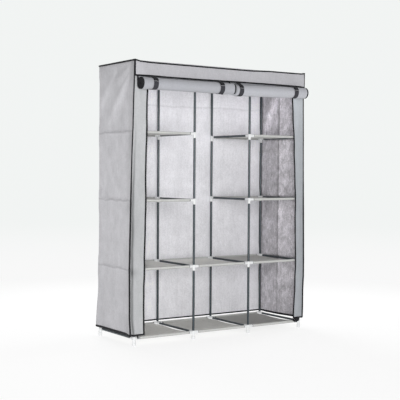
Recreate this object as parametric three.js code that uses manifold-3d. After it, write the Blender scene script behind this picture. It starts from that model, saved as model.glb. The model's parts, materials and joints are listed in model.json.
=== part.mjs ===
// Portable fabric wardrobe with two roll-up doors: steel tubes in plastic connectors, cloth
// shelves sleeved on the tubes, and a sewn cover whose doors are rolled up and strapped.
// Millimetres, +Z up, the front faces -Y. The origin is on the floor, in the middle of the box.

import * as THREE from "three";
import { mergeVertices } from "three/addons/utils/BufferGeometryUtils.js";
import Module from "manifold-3d";

const wasm = await Module();
wasm.setup();

// Cover: sizes over the flat cloth, without the raised edge binding
const coverWidth = 1300;
const coverDepth = 450;
const coverHeight = 1700;
const hemHeight = 65;
const stripWidth = 90;
const zipTapeWidth = 9;
const valanceHeight = 94;
const clothThickness = 1.2;
const seamGap = 0.3;

// Edge binding: a raised bead along the seams and hems, and a flat tape on the valance
const bindingSize = 4.7;
const bindingTuck = 0.15;
const valanceTapeHeight = 8;
const valanceTapeThickness = 2.2;
const hemTabWidth = 15;
const hemTabDrop = 7;
const hemTabThickness = 2;
const hemTabInset = 38;
const tieTailWidth = 6;
const tieTailDrop = 24;
const tieShortReach = 14;
const tieLongReach = 30;
const tieInset = 45;

// Folds of the cover: ridges where a tube pushes the cloth out, and one long fold or crease
const ridgeHeight = 3;
const ridgeHalfWidth = 26;
const longFoldHeight = 2.5;
const creaseHeight = 2;
const valanceWaveHeight = 1.2;

// Frame
const bayCount = 3;
const tierCount = 4;
const hangingBay = 1;
const hangingFloorTier = 1;
const lowestLevel = 45;
const tubeRadius = 8;
const tubeWall = 0.8;
const roundSides = 8;

// Plastic connectors
const hubHalf = 10.5;
const sleeveRadius = 10.5;
const socketReach = 32;
const socketDepth = 20;
const socketClearance = 0.3;
const sleeveDrop = 35;
const footRadius = 12;
const tubeEndGap = 0.5;

// Shelves
const shelfCloth = 1.2;
const shelfSleeveWall = 1.2;
const shelfSleeveClearance = 0.4;
const shelfEndGap = 4;
const shelfSag = 8;

// Doors, rolled up. Insets are from the cover's sides, and the left roll overlaps the right one.
const leftDoorInset = 14;
const rightDoorProud = 3;
const doorOverlap = 100;
const doorOverlapOffset = 12;
const rollRadius = 36;
const rollSheet = 1.6;
const rollPitch = 3;
const rollStandOff = 0.2;
const rollGap = 1.5;
const leftRollDrop = 8;
const rightRollNearDrop = 17;
const rightRollFarDrop = 3;
const leftSqueezeLength = 34;
const rightSqueezeLength = 11;
const squeezeMargin = 2;
const tailShoulderRise = 28;
const tailShoulderReach = 4.5;

// Door straps
const strapWidth = 34;
const strapThickness = 1.5;
const strapGap = 0.5;
const leftOuterStrapInset = 89;
const leftInnerStrapInset = 128;
const rightInnerStrapInset = 119;
const rightOuterStrapInset = 126;
const strapHingeForward = 30;
const strapHingeDrop = 30;
const strapLegBend = 20;
const strapLegThickness = 1;
const headerTapeHeight = 8;

// Zip sliders
const sliderWidth = 12;
const sliderHeight = 15;
const sliderThickness = 4;
const pullWidth = 6;
const pullLength = 24;
const pullThickness = 1.5;
const sliderBelowHem = 30;

// Shares of a span, and angles, that only set how finely a form is drawn
const sideShares = [0, 0.12, 0.3, 0.5, 0.7, 0.88, 1];
const backShares = [0, 0.08, 1 / 6, 1 / 4, 1 / 3, 5 / 12, 1 / 2, 7 / 12, 2 / 3, 3 / 4, 5 / 6, 0.92, 1];
const valanceShares = [0, 0.1, 0.2, 0.3, 0.4, 0.5, 0.6, 0.7, 0.8, 0.9, 1];
const topDepthShares = [0, 0.06, 0.5, 0.94, 1];
const shelfSagShares = [0.06, 0.3, 0.5, 0.7, 0.94];
const frontSqueezeShare = 0.54;
const squeezeFitShare = 0.97;
const longFoldShare = 0.52;
const creaseTopShare = 0.12;
const creaseRunShare = 0.62;
const stepsPerTurn = 14;
const outerTurns = 2;
const turn = 2 * Math.PI;
const degree = Math.PI / 180;
const tabArc = [80 * degree, 160 * degree];
const tapeArc = [161 * degree, 305 * degree];
const arcSteps = 12;
const mergeTolerance = 1e-4;

// Places worked out from the sizes above
const halfWidth = coverWidth / 2;
const halfDepth = coverDepth / 2;
const layer = clothThickness + seamGap;
const postX = halfWidth - layer - hubHalf;
const postY = halfDepth - layer - hubHalf;
const topLevel = coverHeight - layer - hubHalf;
const bayPitch = (2 * postX) / bayCount;
const tierPitch = (topLevel - lowestLevel) / tierCount;
const columnX = (column) => -postX + column * bayPitch;
const levelZ = (level) => lowestLevel + level * tierPitch;
const socketFloor = socketReach - socketDepth;
const clothTop = coverHeight - layer;
const stripEdge = halfWidth - stripWidth;
const zipEdge = stripEdge - seamGap - zipTapeWidth;
const valanceHem = coverHeight - valanceHeight;

// Layers in front of the doorway, as distances from the middle of the frame to their inner faces
const sliderFace = halfDepth + seamGap;
const strapLegFace = sliderFace + sliderThickness + seamGap;
const rightHeaderFace = strapLegFace + layer;
const leftHeaderFace = rightHeaderFace + layer;
const valanceFace = leftHeaderFace + layer;
const stackFront = valanceFace + clothThickness;
const rollBack = leftHeaderFace + clothThickness + rollStandOff;
const rollY = rollBack + rollRadius;
const headerBottom = valanceHem - seamGap - strapThickness / 2;
const tailTop = headerBottom - seamGap;

// Outer reach of the whole part, which sets its origin
const bindingProud = bindingSize - clothThickness;
const backReach = halfDepth + bindingProud;
const frontReach = rollY + rollRadius + strapGap + strapThickness;
const originShift = (frontReach - backReach) / 2;

// The two doors, and the centre height of each roll at a place along it
const doors = {
  left: { from: -halfWidth + leftDoorInset, to: doorOverlapOffset + doorOverlap / 2 },
  right: { from: doorOverlapOffset - doorOverlap / 2, to: halfWidth + rightDoorProud },
};
const rollRest = valanceHem - rollRadius;
doors.left.centreZ = () => rollRest - leftRollDrop;
doors.right.centreZ = (x) => {
  const share = (x - doors.right.from) / (doors.right.to - doors.right.from);
  return rollRest - THREE.MathUtils.lerp(rightRollNearDrop, rightRollFarDrop, share);
};
const straps = [
  { name: "left_door_outer_strap", door: doors.left, x: doors.left.from + leftOuterStrapInset },
  { name: "left_door_inner_strap", door: doors.left, x: doors.left.to - leftInnerStrapInset },
  { name: "right_door_inner_strap", door: doors.right, x: doors.right.from + rightInnerStrapInset },
  { name: "right_door_outer_strap", door: doors.right, x: doors.right.to - rightOuterStrapInset },
];

// Finishes
const finish = (color, roughness, metalness) =>
  new THREE.MeshStandardMaterial({ color, roughness, metalness });
const coverCloth = finish(0xbdbdc1, 0.9, 0);
const shelfFabric = finish(0xa9a6a2, 0.9, 0);
const blackTape = finish(0x1c1c20, 0.8, 0);
const tubeSteel = finish(0x39424a, 0.45, 0.6);
const frameFinish = finish(0x8d9499, 0.5, 0.3);
const sliderMetal = finish(0x4a4c50, 0.35, 0.9);

const group = new THREE.Group();
group.position.y = originShift;

function add(name, geometry, material) {
  const mesh = new THREE.Mesh(geometry, material);
  mesh.name = name;
  group.add(mesh);
}

// Solids for cutting and joining

function solidOf(geometry) {
  const bare = geometry.index ? geometry.toNonIndexed() : geometry.clone();
  bare.deleteAttribute("normal");
  bare.deleteAttribute("uv");
  const merged = mergeVertices(bare, mergeTolerance);
  return new wasm.Manifold(
    new wasm.Mesh({
      numProp: 3,
      vertProperties: merged.attributes.position.array,
      triVerts: new Uint32Array(merged.index.array),
    }),
  );
}

function geometryOf(solid) {
  const mesh = solid.getMesh();
  const geometry = new THREE.BufferGeometry();
  geometry.setAttribute("position", new THREE.BufferAttribute(new Float32Array(mesh.vertProperties), 3));
  geometry.setIndex(new THREE.BufferAttribute(new Uint32Array(mesh.triVerts), 1));
  geometry.computeVertexNormals();
  return geometry;
}

const joined = (solids) => solids.reduce((whole, solid) => whole.add(solid));

// A box between two corners, whose faces lie exactly at the values given
function block(low, high) {
  const box = new THREE.BoxGeometry();
  const { position } = box.attributes;
  for (let i = 0; i < position.count; i++)
    for (let axis = 0; axis < 3; axis++)
      position.setComponent(i, axis, position.getComponent(i, axis) < 0 ? low[axis] : high[axis]);
  return box;
}

// A round bar between two points, turned so that its flats face along the axes
function bar(radius, from, to) {
  const start = new THREE.Vector3(...from);
  const run = new THREE.Vector3(...to).sub(start);
  const rod = new THREE.CylinderGeometry(radius, radius, run.length(), roundSides);
  rod.rotateY(turn / roundSides / 2);
  const up = new THREE.Vector3(0, 1, 0);
  rod.applyQuaternion(new THREE.Quaternion().setFromUnitVectors(up, run.clone().normalize()));
  return rod.translate(...start.addScaledVector(run, 1 / 2).toArray());
}

// The corners of a round section whose flats face along the axes
function ringPoints(radius, centreY = 0, centreZ = 0) {
  return Array.from({ length: roundSides }, (_, i) => {
    const angle = ((i + 1 / 2) * turn) / roundSides;
    return new THREE.Vector2(centreY + radius * Math.cos(angle), centreZ + radius * Math.sin(angle));
  });
}

// A section drawn in Y and Z, drawn out along X
function drawnAlongX(shape, fromX, toX) {
  const solid = new THREE.ExtrudeGeometry(shape, { depth: toX - fromX, bevelEnabled: false });
  const basis = new THREE.Matrix4().makeBasis(
    new THREE.Vector3(0, 1, 0),
    new THREE.Vector3(0, 0, 1),
    new THREE.Vector3(1, 0, 0),
  );
  return solid.applyMatrix4(basis).translate(fromX, 0, 0);
}

// Frame: where tubes run, and where shelves hang

const hasTube = (bay, level) =>
  bay >= 0 &&
  bay < bayCount &&
  (bay !== hangingBay || level <= hangingFloorTier || level === tierCount);
const hasShelf = (bay, level) => level < tierCount && hasTube(bay, level);

// One socket arm along X, and the bore that a tube goes into
function socketArm(x, y, z, way) {
  const mouth = x + way * socketReach;
  const boreRadius = tubeRadius + socketClearance / Math.cos(turn / roundSides / 2);
  return {
    arm: bar(sleeveRadius, [x, y, z], [mouth, y, z]),
    bore: bar(boreRadius, [x + way * socketFloor, y, z], [mouth + way * seamGap, y, z]),
  };
}

// One upright frame: a front and a back post, their depth tubes, connectors and feet
function uprightFrame(column) {
  const x = columnX(column);
  const solids = [];
  const bores = [];
  const ways = [-1, 1].map((way) => ({ way, bay: way < 0 ? column - 1 : column }));
  const addArm = (y, z, way) => {
    const { arm, bore } = socketArm(x, y, z, way);
    solids.push(arm);
    bores.push(bore);
  };
  const addHub = (y, z) =>
    solids.push(block([x - hubHalf, y - hubHalf, z - hubHalf], [x + hubHalf, y + hubHalf, z + hubHalf]));
  for (const side of [-1, 1]) {
    const y = side * postY;
    const footTop = lowestLevel - sleeveDrop;
    solids.push(bar(footRadius, [x, y, 0], [x, y, footTop]));
    solids.push(bar(tubeRadius, [x, y, footTop], [x, y, topLevel]));
    for (let level = 0; level <= tierCount; level++) {
      const z = levelZ(level);
      addHub(y, z);
      solids.push(bar(sleeveRadius, [x, y, z - sleeveDrop], [x, y, z]));
      solids.push(bar(sleeveRadius, [x, y, z], [x, y - side * socketReach, z]));
      for (const { way, bay } of ways) if (hasTube(bay, level)) addArm(y, z, way);
    }
  }
  for (let level = 0; level <= tierCount; level++)
    solids.push(bar(tubeRadius, [x, -postY, levelZ(level)], [x, postY, levelZ(level)]));
  for (const { way, bay } of ways)
    if (bay === hangingBay) {
      addHub(0, topLevel);
      addArm(0, topLevel, way);
    }
  const whole = joined(solids.map(solidOf));
  return geometryOf(whole.subtract(joined(bores.map(solidOf))));
}

// A crossways tube that ends in the sockets on both sides of its bay
function crossTube(bay, y, z) {
  const section = new THREE.Shape(ringPoints(tubeRadius, y, z));
  section.holes.push(new THREE.Path(ringPoints(tubeRadius - tubeWall, y, z)));
  const inset = socketFloor + tubeEndGap;
  return drawnAlongX(section, columnX(bay) + inset, columnX(bay + 1) - inset);
}

// A cloth shelf: a sagging sheet between a sleeve on the front tube and one on the back tube
function shelf(bay, level) {
  const z = levelZ(level);
  const inner = tubeRadius + shelfSleeveClearance;
  const outer = inner + shelfSleeveWall;
  const flat = outer * Math.cos(turn / roundSides / 2);
  const small = outer * Math.sin(turn / roundSides / 2);
  const span = postY - flat;
  const topAt = (y) => z + flat - shelfSag * (1 - (y / span) ** 2);
  const sagYs = shelfSagShares.map((share) => THREE.MathUtils.lerp(-span, span, share));
  const around = (centre, first) => {
    const ring = ringPoints(outer, centre, z);
    return ring.map((_, i) => ring[(first + i) % roundSides]);
  };
  const outline = [
    ...around(-postY, 1),
    ...sagYs.map((y) => new THREE.Vector2(y, topAt(y) - shelfCloth)),
    ...around(postY, roundSides / 2 - 1),
    ...sagYs.reverse().map((y) => new THREE.Vector2(y, topAt(y))),
  ];
  outline[roundSides - 1].set(-postY + flat, z + small);
  const section = new THREE.Shape(outline);
  for (const side of [-1, 1]) section.holes.push(new THREE.Path(ringPoints(inner, side * postY, z)));
  const inset = socketReach + shelfEndGap;
  return drawnAlongX(section, columnX(bay) + inset, columnX(bay + 1) - inset);
}

// Cloth

// A closed sheet over the rectangle that corner, across and up span. fold gives how far a point
// stands out, from its shares across and up.
function clothSheet({ corner, across, up, outward, acrossShares, upShares, fold = () => 0 }) {
  const points = [];
  for (const lift of [0, clothThickness])
    for (const t of upShares)
      for (const s of acrossShares)
        points.push(
          ...corner.clone().addScaledVector(across, s).addScaledVector(up, t)
            .addScaledVector(outward, lift + fold(s, t)).toArray(),
        );
  const columns = acrossShares.length;
  const rows = upShares.length;
  const inner = (i, j) => j * columns + i;
  const outer = (i, j) => columns * rows + inner(i, j);
  const index = [];
  const flipped = across.clone().cross(up).dot(outward) < 0;
  const quad = (a, b, c, d) => index.push(...(flipped ? [a, c, b, a, d, c] : [a, b, c, a, c, d]));
  for (let j = 0; j + 1 < rows; j++)
    for (let i = 0; i + 1 < columns; i++) {
      quad(outer(i, j), outer(i + 1, j), outer(i + 1, j + 1), outer(i, j + 1));
      quad(inner(i, j), inner(i, j + 1), inner(i + 1, j + 1), inner(i + 1, j));
    }
  for (let i = 0; i + 1 < columns; i++) {
    const top = rows - 1;
    quad(inner(i, 0), inner(i + 1, 0), outer(i + 1, 0), outer(i, 0));
    quad(outer(i, top), outer(i + 1, top), inner(i + 1, top), inner(i, top));
  }
  for (let j = 0; j + 1 < rows; j++) {
    const last = columns - 1;
    quad(inner(last, j), inner(last, j + 1), outer(last, j + 1), outer(last, j));
    quad(outer(0, j), outer(0, j + 1), inner(0, j + 1), inner(0, j));
  }
  const geometry = new THREE.BufferGeometry();
  geometry.setAttribute("position", new THREE.Float32BufferAttribute(points, 3));
  geometry.setIndex(index);
  geometry.computeVertexNormals();
  return geometry;
}

const panelRise = clothTop - hemHeight;
const riseShare = (z) => (z - hemHeight) / panelRise;
const innerLevels = Array.from({ length: tierCount - 1 }, (_, i) => levelZ(i + 1));

// Rows of a hanging panel: three at each tube, and two in each tier between
function panelRowShares() {
  const rows = [0];
  for (const z of innerLevels) {
    rows.push(riseShare(z - tierPitch / 2));
    rows.push(...[-ridgeHalfWidth, 0, ridgeHalfWidth].map((step) => riseShare(z + step)));
  }
  return [...rows, riseShare(topLevel - tierPitch / 2), riseShare(topLevel - tierPitch / 4), 1];
}

// A ridge along each tube, dying out towards the panel's side edges
function tubeRidges(s, t) {
  const fade = Math.min(1, 4 * s * (1 - s));
  const atTube = innerLevels.some((z) => Math.abs(riseShare(z) - t) * panelRise < seamGap);
  return atTube ? ridgeHeight * fade : 0;
}

function sidePanel(side, extraFold) {
  const sideHalf = halfDepth - layer;
  return clothSheet({
    corner: new THREE.Vector3(side * (halfWidth - clothThickness), -sideHalf, hemHeight),
    across: new THREE.Vector3(0, 2 * sideHalf, 0),
    up: new THREE.Vector3(0, 0, panelRise),
    outward: new THREE.Vector3(side, 0, 0),
    acrossShares: sideShares,
    upShares: panelRowShares(),
    fold: (s, t) => Math.max(tubeRidges(s, t), extraFold(s, t)),
  });
}

// A fold at a share across, as wide as one step of the sheet
const foldAt = (s, centre, reach) => Math.max(0, 1 - Math.abs(s - centre) / reach);
const clear = (t) => t > 0 && t < 1;
const longFold = (s, t) =>
  clear(t) && clear(s) ? longFoldHeight * foldAt(s, longFoldShare, sideShares[1]) : 0;

// A slanting crease that starts at the front top corner and runs down the panel
const topTier = riseShare(topLevel - tierPitch);
const creaseFold = (s, t) => {
  if (!clear(t) || !clear(s) || t < topTier) return 0;
  const down = (1 - t) / (1 - topTier);
  return creaseHeight * foldAt(s, creaseTopShare + creaseRunShare * down, sideShares[2]);
};

function backPanel() {
  const half = halfWidth - layer;
  return clothSheet({
    corner: new THREE.Vector3(-half, halfDepth - clothThickness, hemHeight),
    across: new THREE.Vector3(2 * half, 0, 0),
    up: new THREE.Vector3(0, 0, panelRise),
    outward: new THREE.Vector3(0, 1, 0),
    acrossShares: backShares,
    upShares: panelRowShares(),
    fold: tubeRidges,
  });
}

// The top sheet hangs a little between the hubs and reaches forward over the doorway's layers
function topPanel() {
  const half = halfWidth - layer;
  const front = -stackFront;
  const back = halfDepth - layer;
  const sag = hubHalf - tubeRadius - tubeEndGap;
  const columnShare = (column) => (columnX(column) + half) / (2 * half);
  const columns = Array.from({ length: bayCount + 1 }, (_, i) => columnShare(i));
  const middles = Array.from({ length: bayCount }, (_, i) => columnShare(i + 1 / 2));
  return clothSheet({
    corner: new THREE.Vector3(-half, front, coverHeight - clothThickness),
    across: new THREE.Vector3(2 * half, 0, 0),
    up: new THREE.Vector3(0, back - front, 0),
    outward: new THREE.Vector3(0, 0, 1),
    acrossShares: [0, ...columns, ...middles, 1].sort((a, b) => a - b),
    upShares: topDepthShares,
    fold: (s, t) => (middles.includes(s) && t === topDepthShares[2] ? -sag : 0),
  });
}

function valance() {
  const half = halfWidth - layer;
  const rise = clothTop - valanceHem;
  return clothSheet({
    corner: new THREE.Vector3(-half, -valanceFace, valanceHem),
    across: new THREE.Vector3(2 * half, 0, 0),
    up: new THREE.Vector3(0, 0, rise),
    outward: new THREE.Vector3(0, -1, 0),
    acrossShares: valanceShares,
    upShares: [0, (valanceTapeHeight + 2 * seamGap) / rise, 1 / 2, 1],
    fold: (s, t) => {
      if (t !== 1 / 2 || !clear(s)) return 0;
      return (valanceWaveHeight * (1 + Math.sin(turn * s * bayCount))) / 2;
    },
  });
}

// A flat upright sheet in front of or behind the doorway's plane
const flatSheet = (fromX, toX, face, fromZ, toZ) =>
  block([fromX, -face - clothThickness, fromZ], [toX, -face, toZ]);

// A ribbon's section along a path of [y, z] points
function ribbonSection(path, thickness) {
  const points = path.map(([y, z]) => new THREE.Vector2(y, z));
  const normalAt = (i) => {
    const before = points[Math.max(0, i - 1)];
    const after = points[Math.min(points.length - 1, i + 1)];
    const run = after.clone().sub(before).normalize();
    return new THREE.Vector2(-run.y, run.x);
  };
  const edge = (way) =>
    points.map((p, i) => p.clone().addScaledVector(normalAt(i), (way * thickness) / 2));
  return new THREE.Shape([...edge(1), ...edge(-1).reverse()]);
}

// Points round a roll: the angle is 0 at the back, a quarter turn at the top, half a turn in front
function rollArc(strap, [from, to]) {
  const radius = rollRadius + strapGap + strapThickness / 2;
  const z = strap.door.centreZ(strap.x);
  return Array.from({ length: arcSteps + 1 }, (_, i) => {
    const angle = THREE.MathUtils.lerp(from, to, i / arcSteps);
    return [-rollY + radius * Math.cos(angle), z + radius * Math.sin(angle)];
  });
}

const strapEdges = (strap) => [strap.x - strapWidth / 2, strap.x + strapWidth / 2];
const strapHinge = (strap) => [-rollY + strapHingeForward, strap.door.centreZ(strap.x) - strapHingeDrop];

// The long tape that comes round under the roll, up to where it fastens to the upper tab
function strapTape(strap) {
  const path = [...rollArc(strap, tapeArc), strapHinge(strap)];
  return drawnAlongX(ribbonSection(path, strapThickness), ...strapEdges(strap));
}

// The short tab from the valance's edge tape over the top of the roll
function strapTab(strap) {
  const root = [-stackFront - seamGap - valanceTapeThickness / 2, valanceHem + strapThickness];
  const path = [root, ...rollArc(strap, tabArc)];
  return drawnAlongX(ribbonSection(path, strapThickness), ...strapEdges(strap));
}

// The tape in the top seam with the four back legs of the straps
function headerTape() {
  const [first, last] = [straps[0], straps.at(-1)];
  const tape = block(
    [first.x - strapWidth, -strapLegFace - clothThickness, clothTop - headerTapeHeight],
    [last.x + strapWidth, -strapLegFace, clothTop],
  );
  const legs = straps.map((strap) => {
    const legY = -strapLegFace - clothThickness / 2;
    const [hingeY, hingeZ] = strapHinge(strap);
    const path = [
      [legY, clothTop - headerTapeHeight / 2],
      [legY, hingeZ + strapLegBend],
      [hingeY + strapThickness, hingeZ + strapThickness + seamGap],
    ];
    return drawnAlongX(ribbonSection(path, strapLegThickness), ...strapEdges(strap));
  });
  return geometryOf(joined([tape, ...legs].map(solidOf)));
}

// Rolled doors

// A roll's section where the whole thickness is its own, and where it shares it with the other
const fullSection = (x, door) => ({ x, y: -rollY, z: door.centreZ(x), deep: rollRadius, tall: rollRadius });
function squeezedSection(x, door, way, share) {
  const deep = (share * (2 * rollRadius - rollGap)) / 2;
  const offset = rollRadius - deep;
  const tall = squeezeFitShare * Math.sqrt(rollRadius ** 2 - offset ** 2);
  return { x, y: -rollY + way * offset, z: door.centreZ(x), deep, tall, inFront: way < 0 };
}

// The outline of one section: two turns of cloth over the wound core, and the tail up to the seam
function rollOutline(section, headerFace) {
  const { y, z, deep, tall, inFront } = section;
  const at = (radius, step) => {
    const angle = (-step * turn) / stepsPerTurn;
    const share = radius / rollRadius;
    return new THREE.Vector2(y + deep * share * Math.cos(angle), z + tall * share * Math.sin(angle));
  };
  const radiusAt = (step) => rollRadius - (rollPitch * step) / stepsPerTurn;
  const outerSide = [];
  const innerSide = [];
  const woundSteps = outerTurns * stepsPerTurn;
  for (let step = 0; step <= woundSteps + stepsPerTurn; step++)
    outerSide.push(at(radiusAt(step), step));
  for (let step = woundSteps; step >= 0; step--)
    innerSide.push(at(radiusAt(step) - rollSheet, step));
  const back = y + deep;
  const drop = tailShoulderRise / (tailTop - z);
  const shoulder = inFront ? back + tailShoulderReach : THREE.MathUtils.lerp(back, -headerFace, drop);
  const rise = z + tailShoulderRise;
  const tail = [
    new THREE.Vector2(shoulder - rollSheet, rise),
    new THREE.Vector2(-headerFace - clothThickness, tailTop),
    new THREE.Vector2(-headerFace, tailTop),
    new THREE.Vector2(shoulder, rise),
  ];
  return [...outerSide, ...innerSide, ...tail].reverse();
}

// A closed body through sections of equal point count, one behind the other along X
function loft(sections, outlines) {
  const points = outlines.flatMap((outline, s) => outline.flatMap((p) => [sections[s].x, p.x, p.y]));
  const count = outlines[0].length;
  const index = [];
  for (let s = 0; s + 1 < sections.length; s++)
    for (let i = 0; i < count; i++) {
      const next = (i + 1) % count;
      const [a, b] = [s * count + i, s * count + next];
      index.push(a, b, b + count, a, b + count, a + count);
    }
  const last = sections.length - 1;
  for (const [a, b, c] of THREE.ShapeUtils.triangulateShape(outlines[0], [])) index.push(a, c, b);
  for (const face of THREE.ShapeUtils.triangulateShape(outlines[last], []))
    index.push(...face.map((corner) => corner + last * count));
  const geometry = new THREE.BufferGeometry();
  geometry.setAttribute("position", new THREE.Float32BufferAttribute(points, 3));
  geometry.setIndex(index);
  geometry.computeVertexNormals();
  return geometry;
}

function doorRoll(name, door, sections, headerFace) {
  const outlines = sections.map((section) => rollOutline(section, headerFace));
  const leastGap = Math.min(
    ...sections.map(({ deep, tall }) => ((rollPitch - rollSheet) * Math.min(deep, tall)) / rollRadius),
  );
  console.log(name, "least gap between turns", leastGap.toFixed(2), "mm");
  add(name, loft(sections, outlines), coverCloth);
}

// Each roll is squeezed where the other lies against it: the left one in front, the right one behind
const overlapFrom = doors.right.from - squeezeMargin;
const overlapTo = doors.left.to + squeezeMargin;
const leftSections = [
  fullSection(doors.left.from, doors.left),
  fullSection(overlapFrom - leftSqueezeLength, doors.left),
  squeezedSection(overlapFrom, doors.left, -1, frontSqueezeShare),
  squeezedSection(doors.left.to, doors.left, -1, frontSqueezeShare),
];
const rightSections = [
  squeezedSection(doors.right.from, doors.right, 1, 1 - frontSqueezeShare),
  squeezedSection(overlapTo, doors.right, 1, 1 - frontSqueezeShare),
  fullSection(overlapTo + rightSqueezeLength, doors.right),
  fullSection(doors.right.to, doors.right),
];

// Edge binding: seam beads, hems, zip tapes, the valance's tape, strap tabs, hem tab and tie

// One straight run of binding, drawn in on all sides so that it ends inside the run it meets
const bead = (low, high, tuck) =>
  block(
    low.map((value) => value + tuck),
    high.map((value) => value - tuck),
  );

function edgeBinding() {
  const outX = halfWidth + bindingProud;
  const inX = outX - bindingSize;
  const outY = halfDepth + bindingProud;
  const inY = outY - bindingSize;
  const hemTop = hemHeight - seamGap;
  const hemLow = hemTop - bindingSize;
  const topLow = coverHeight - clothThickness;
  const topHigh = topLow + bindingSize;
  const frontEdge = stackFront + seamGap + bindingSize;
  const tapeBack = stackFront + seamGap;
  const tapeFront = tapeBack + valanceTapeThickness;
  const tapeTop = valanceHem + valanceTapeHeight;
  const uprightTuck = bindingTuck;
  const crossTuck = 2 * bindingTuck;
  const solids = [];
  for (const side of [-1, 1]) {
    const [x0, x1] = side < 0 ? [-outX, -inX] : [inX, outX];
    const [z0, z1] = side < 0 ? [-zipEdge - zipTapeWidth, -zipEdge] : [zipEdge, zipEdge + zipTapeWidth];
    const [h0, h1] = side < 0 ? [-outX, z1] : [z0, outX];
    solids.push(bead([x0, -outY, hemLow], [x1, outY, hemTop], 0));
    solids.push(bead([x0, -frontEdge, topLow], [x1, outY, topHigh], 0));
    solids.push(bead([x0, -tapeFront, valanceHem], [x1, -inY, tapeTop], 0));
    solids.push(bead([x0, -outY, hemLow], [x1, -inY, topHigh], uprightTuck));
    solids.push(bead([x0, inY, hemLow], [x1, outY, topHigh], uprightTuck));
    solids.push(bead([h0, -outY, hemLow], [h1, -inY, hemTop], crossTuck));
    solids.push(block([z0, -halfDepth, hemTop - bindingSize / 2], [z1, -inY, clothTop]));
  }
  solids.push(bead([-outX, inY, hemLow], [outX, outY, hemTop], crossTuck));
  solids.push(bead([-outX, inY, topLow], [outX, outY, topHigh], crossTuck));
  solids.push(bead([-outX, -frontEdge, topLow], [outX, -tapeBack, topHigh], crossTuck));
  solids.push(bead([-outX, -tapeFront, valanceHem], [outX, -tapeBack, tapeTop], crossTuck));
  solids.push(...straps.map(strapTab), hemTab(outY, hemTop), ...tieTails(outY, hemTop));
  return geometryOf(joined(solids.map(solidOf)));
}

function hemTab(outY, hemTop) {
  const x = -halfWidth + hemTabInset;
  return block(
    [x - hemTabWidth / 2, -outY - hemTabThickness / 2, hemTop - bindingSize - hemTabDrop],
    [x + hemTabWidth / 2, -outY + hemTabThickness / 2, hemTop - bindingSize / 2],
  );
}

// Two slanting tails of one small bow at the right strip's hem
function tieTails(outY, hemTop) {
  const x = halfWidth - tieInset;
  return [-tieShortReach, tieLongReach].map((reach) => {
    const knot = hemTop - bindingSize / 2;
    const low = hemTop - bindingSize - tieTailDrop;
    const shape = new THREE.Shape([
      new THREE.Vector2(x - tieTailWidth / 2, knot),
      new THREE.Vector2(x + reach - tieTailWidth / 2, low),
      new THREE.Vector2(x + reach + tieTailWidth / 2, low),
      new THREE.Vector2(x + tieTailWidth / 2, knot),
    ]);
    const tail = new THREE.ExtrudeGeometry(shape, { depth: hemTabThickness, bevelEnabled: false });
    return tail.rotateX(turn / 4).translate(0, -outY + hemTabThickness / 2, 0);
  });
}

// A zip slider with its pull, on the zip tape of one strip
function zipSlider(side) {
  const x = side * (zipEdge + zipTapeWidth / 2);
  const top = valanceHem - sliderBelowHem;
  const front = -sliderFace - sliderThickness;
  const body = block(
    [x - sliderWidth / 2, front, top - sliderHeight],
    [x + sliderWidth / 2, -sliderFace, top],
  );
  const pull = block(
    [x - pullWidth / 2, front, top - sliderHeight - pullLength],
    [x + pullWidth / 2, front + pullThickness, top - sliderHeight / 2],
  );
  return geometryOf(joined([body, pull].map(solidOf)));
}

// Assembly: the frame and its shelves

["left_end", "left_middle", "right_middle", "right_end"].forEach((name, column) =>
  add(`${name}_frame`, uprightFrame(column), frameFinish),
);

const bayNames = ["left", "middle", "right"];
bayNames.forEach((bayName, bay) => {
  for (let level = 0; level <= tierCount; level++) {
    if (!hasTube(bay, level)) continue;
    add(`${bayName}_front_tube_${level + 1}`, crossTube(bay, -postY, levelZ(level)), tubeSteel);
    add(`${bayName}_back_tube_${level + 1}`, crossTube(bay, postY, levelZ(level)), tubeSteel);
  }
  for (let level = 0; level < tierCount; level++)
    if (hasShelf(bay, level)) add(`${bayName}_shelf_${level + 1}`, shelf(bay, level), shelfFabric);
});
add("hanging_rail", crossTube(hangingBay, 0, topLevel), tubeSteel);

// Assembly: the cover

add("top_panel", topPanel(), coverCloth);
add("back_panel", backPanel(), coverCloth);
add("left_side_panel", sidePanel(-1, creaseFold), coverCloth);
add("right_side_panel", sidePanel(1, longFold), coverCloth);
add("valance", valance(), coverCloth);
for (const [name, side] of [["left", -1], ["right", 1]]) {
  const [from, to] = side < 0 ? [-halfWidth + layer, -stripEdge] : [stripEdge, halfWidth - layer];
  const sheet = flatSheet(from, to, halfDepth - clothThickness, hemHeight, clothTop);
  add(`${name}_front_strip`, sheet, coverCloth);
}
add("edge_binding", edgeBinding(), blackTape);

// Assembly: the doors, their straps and the zip sliders

const headerTo = (door) => Math.min(door.to, halfWidth - layer);
add(
  "left_door_header",
  flatSheet(doors.left.from, headerTo(doors.left), leftHeaderFace, headerBottom, clothTop),
  coverCloth,
);
add(
  "right_door_header",
  flatSheet(doors.right.from, headerTo(doors.right), rightHeaderFace, headerBottom, clothTop),
  coverCloth,
);
doorRoll("left_door_roll", doors.left, leftSections, leftHeaderFace);
doorRoll("right_door_roll", doors.right, rightSections, rightHeaderFace);
add("strap_header_tape", headerTape(), blackTape);
for (const strap of straps) add(strap.name, strapTape(strap), blackTape);
add("left_zip_slider", zipSlider(-1), sliderMetal);
add("right_zip_slider", zipSlider(1), sliderMetal);

export default group;
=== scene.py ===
# %% [markdown]
# A portable fabric wardrobe, dressed piece by piece. The solid model gives every place and joint:
# steel tubes in plastic connectors, and a sewn cover with two roll-up doors. Here each piece gets
# its real surface. The frame is loaded first, so that every value below can be read from it.

# %% Load the frame
import json
import math

import bpy
from mathutils import Matrix, Vector, noise

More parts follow.
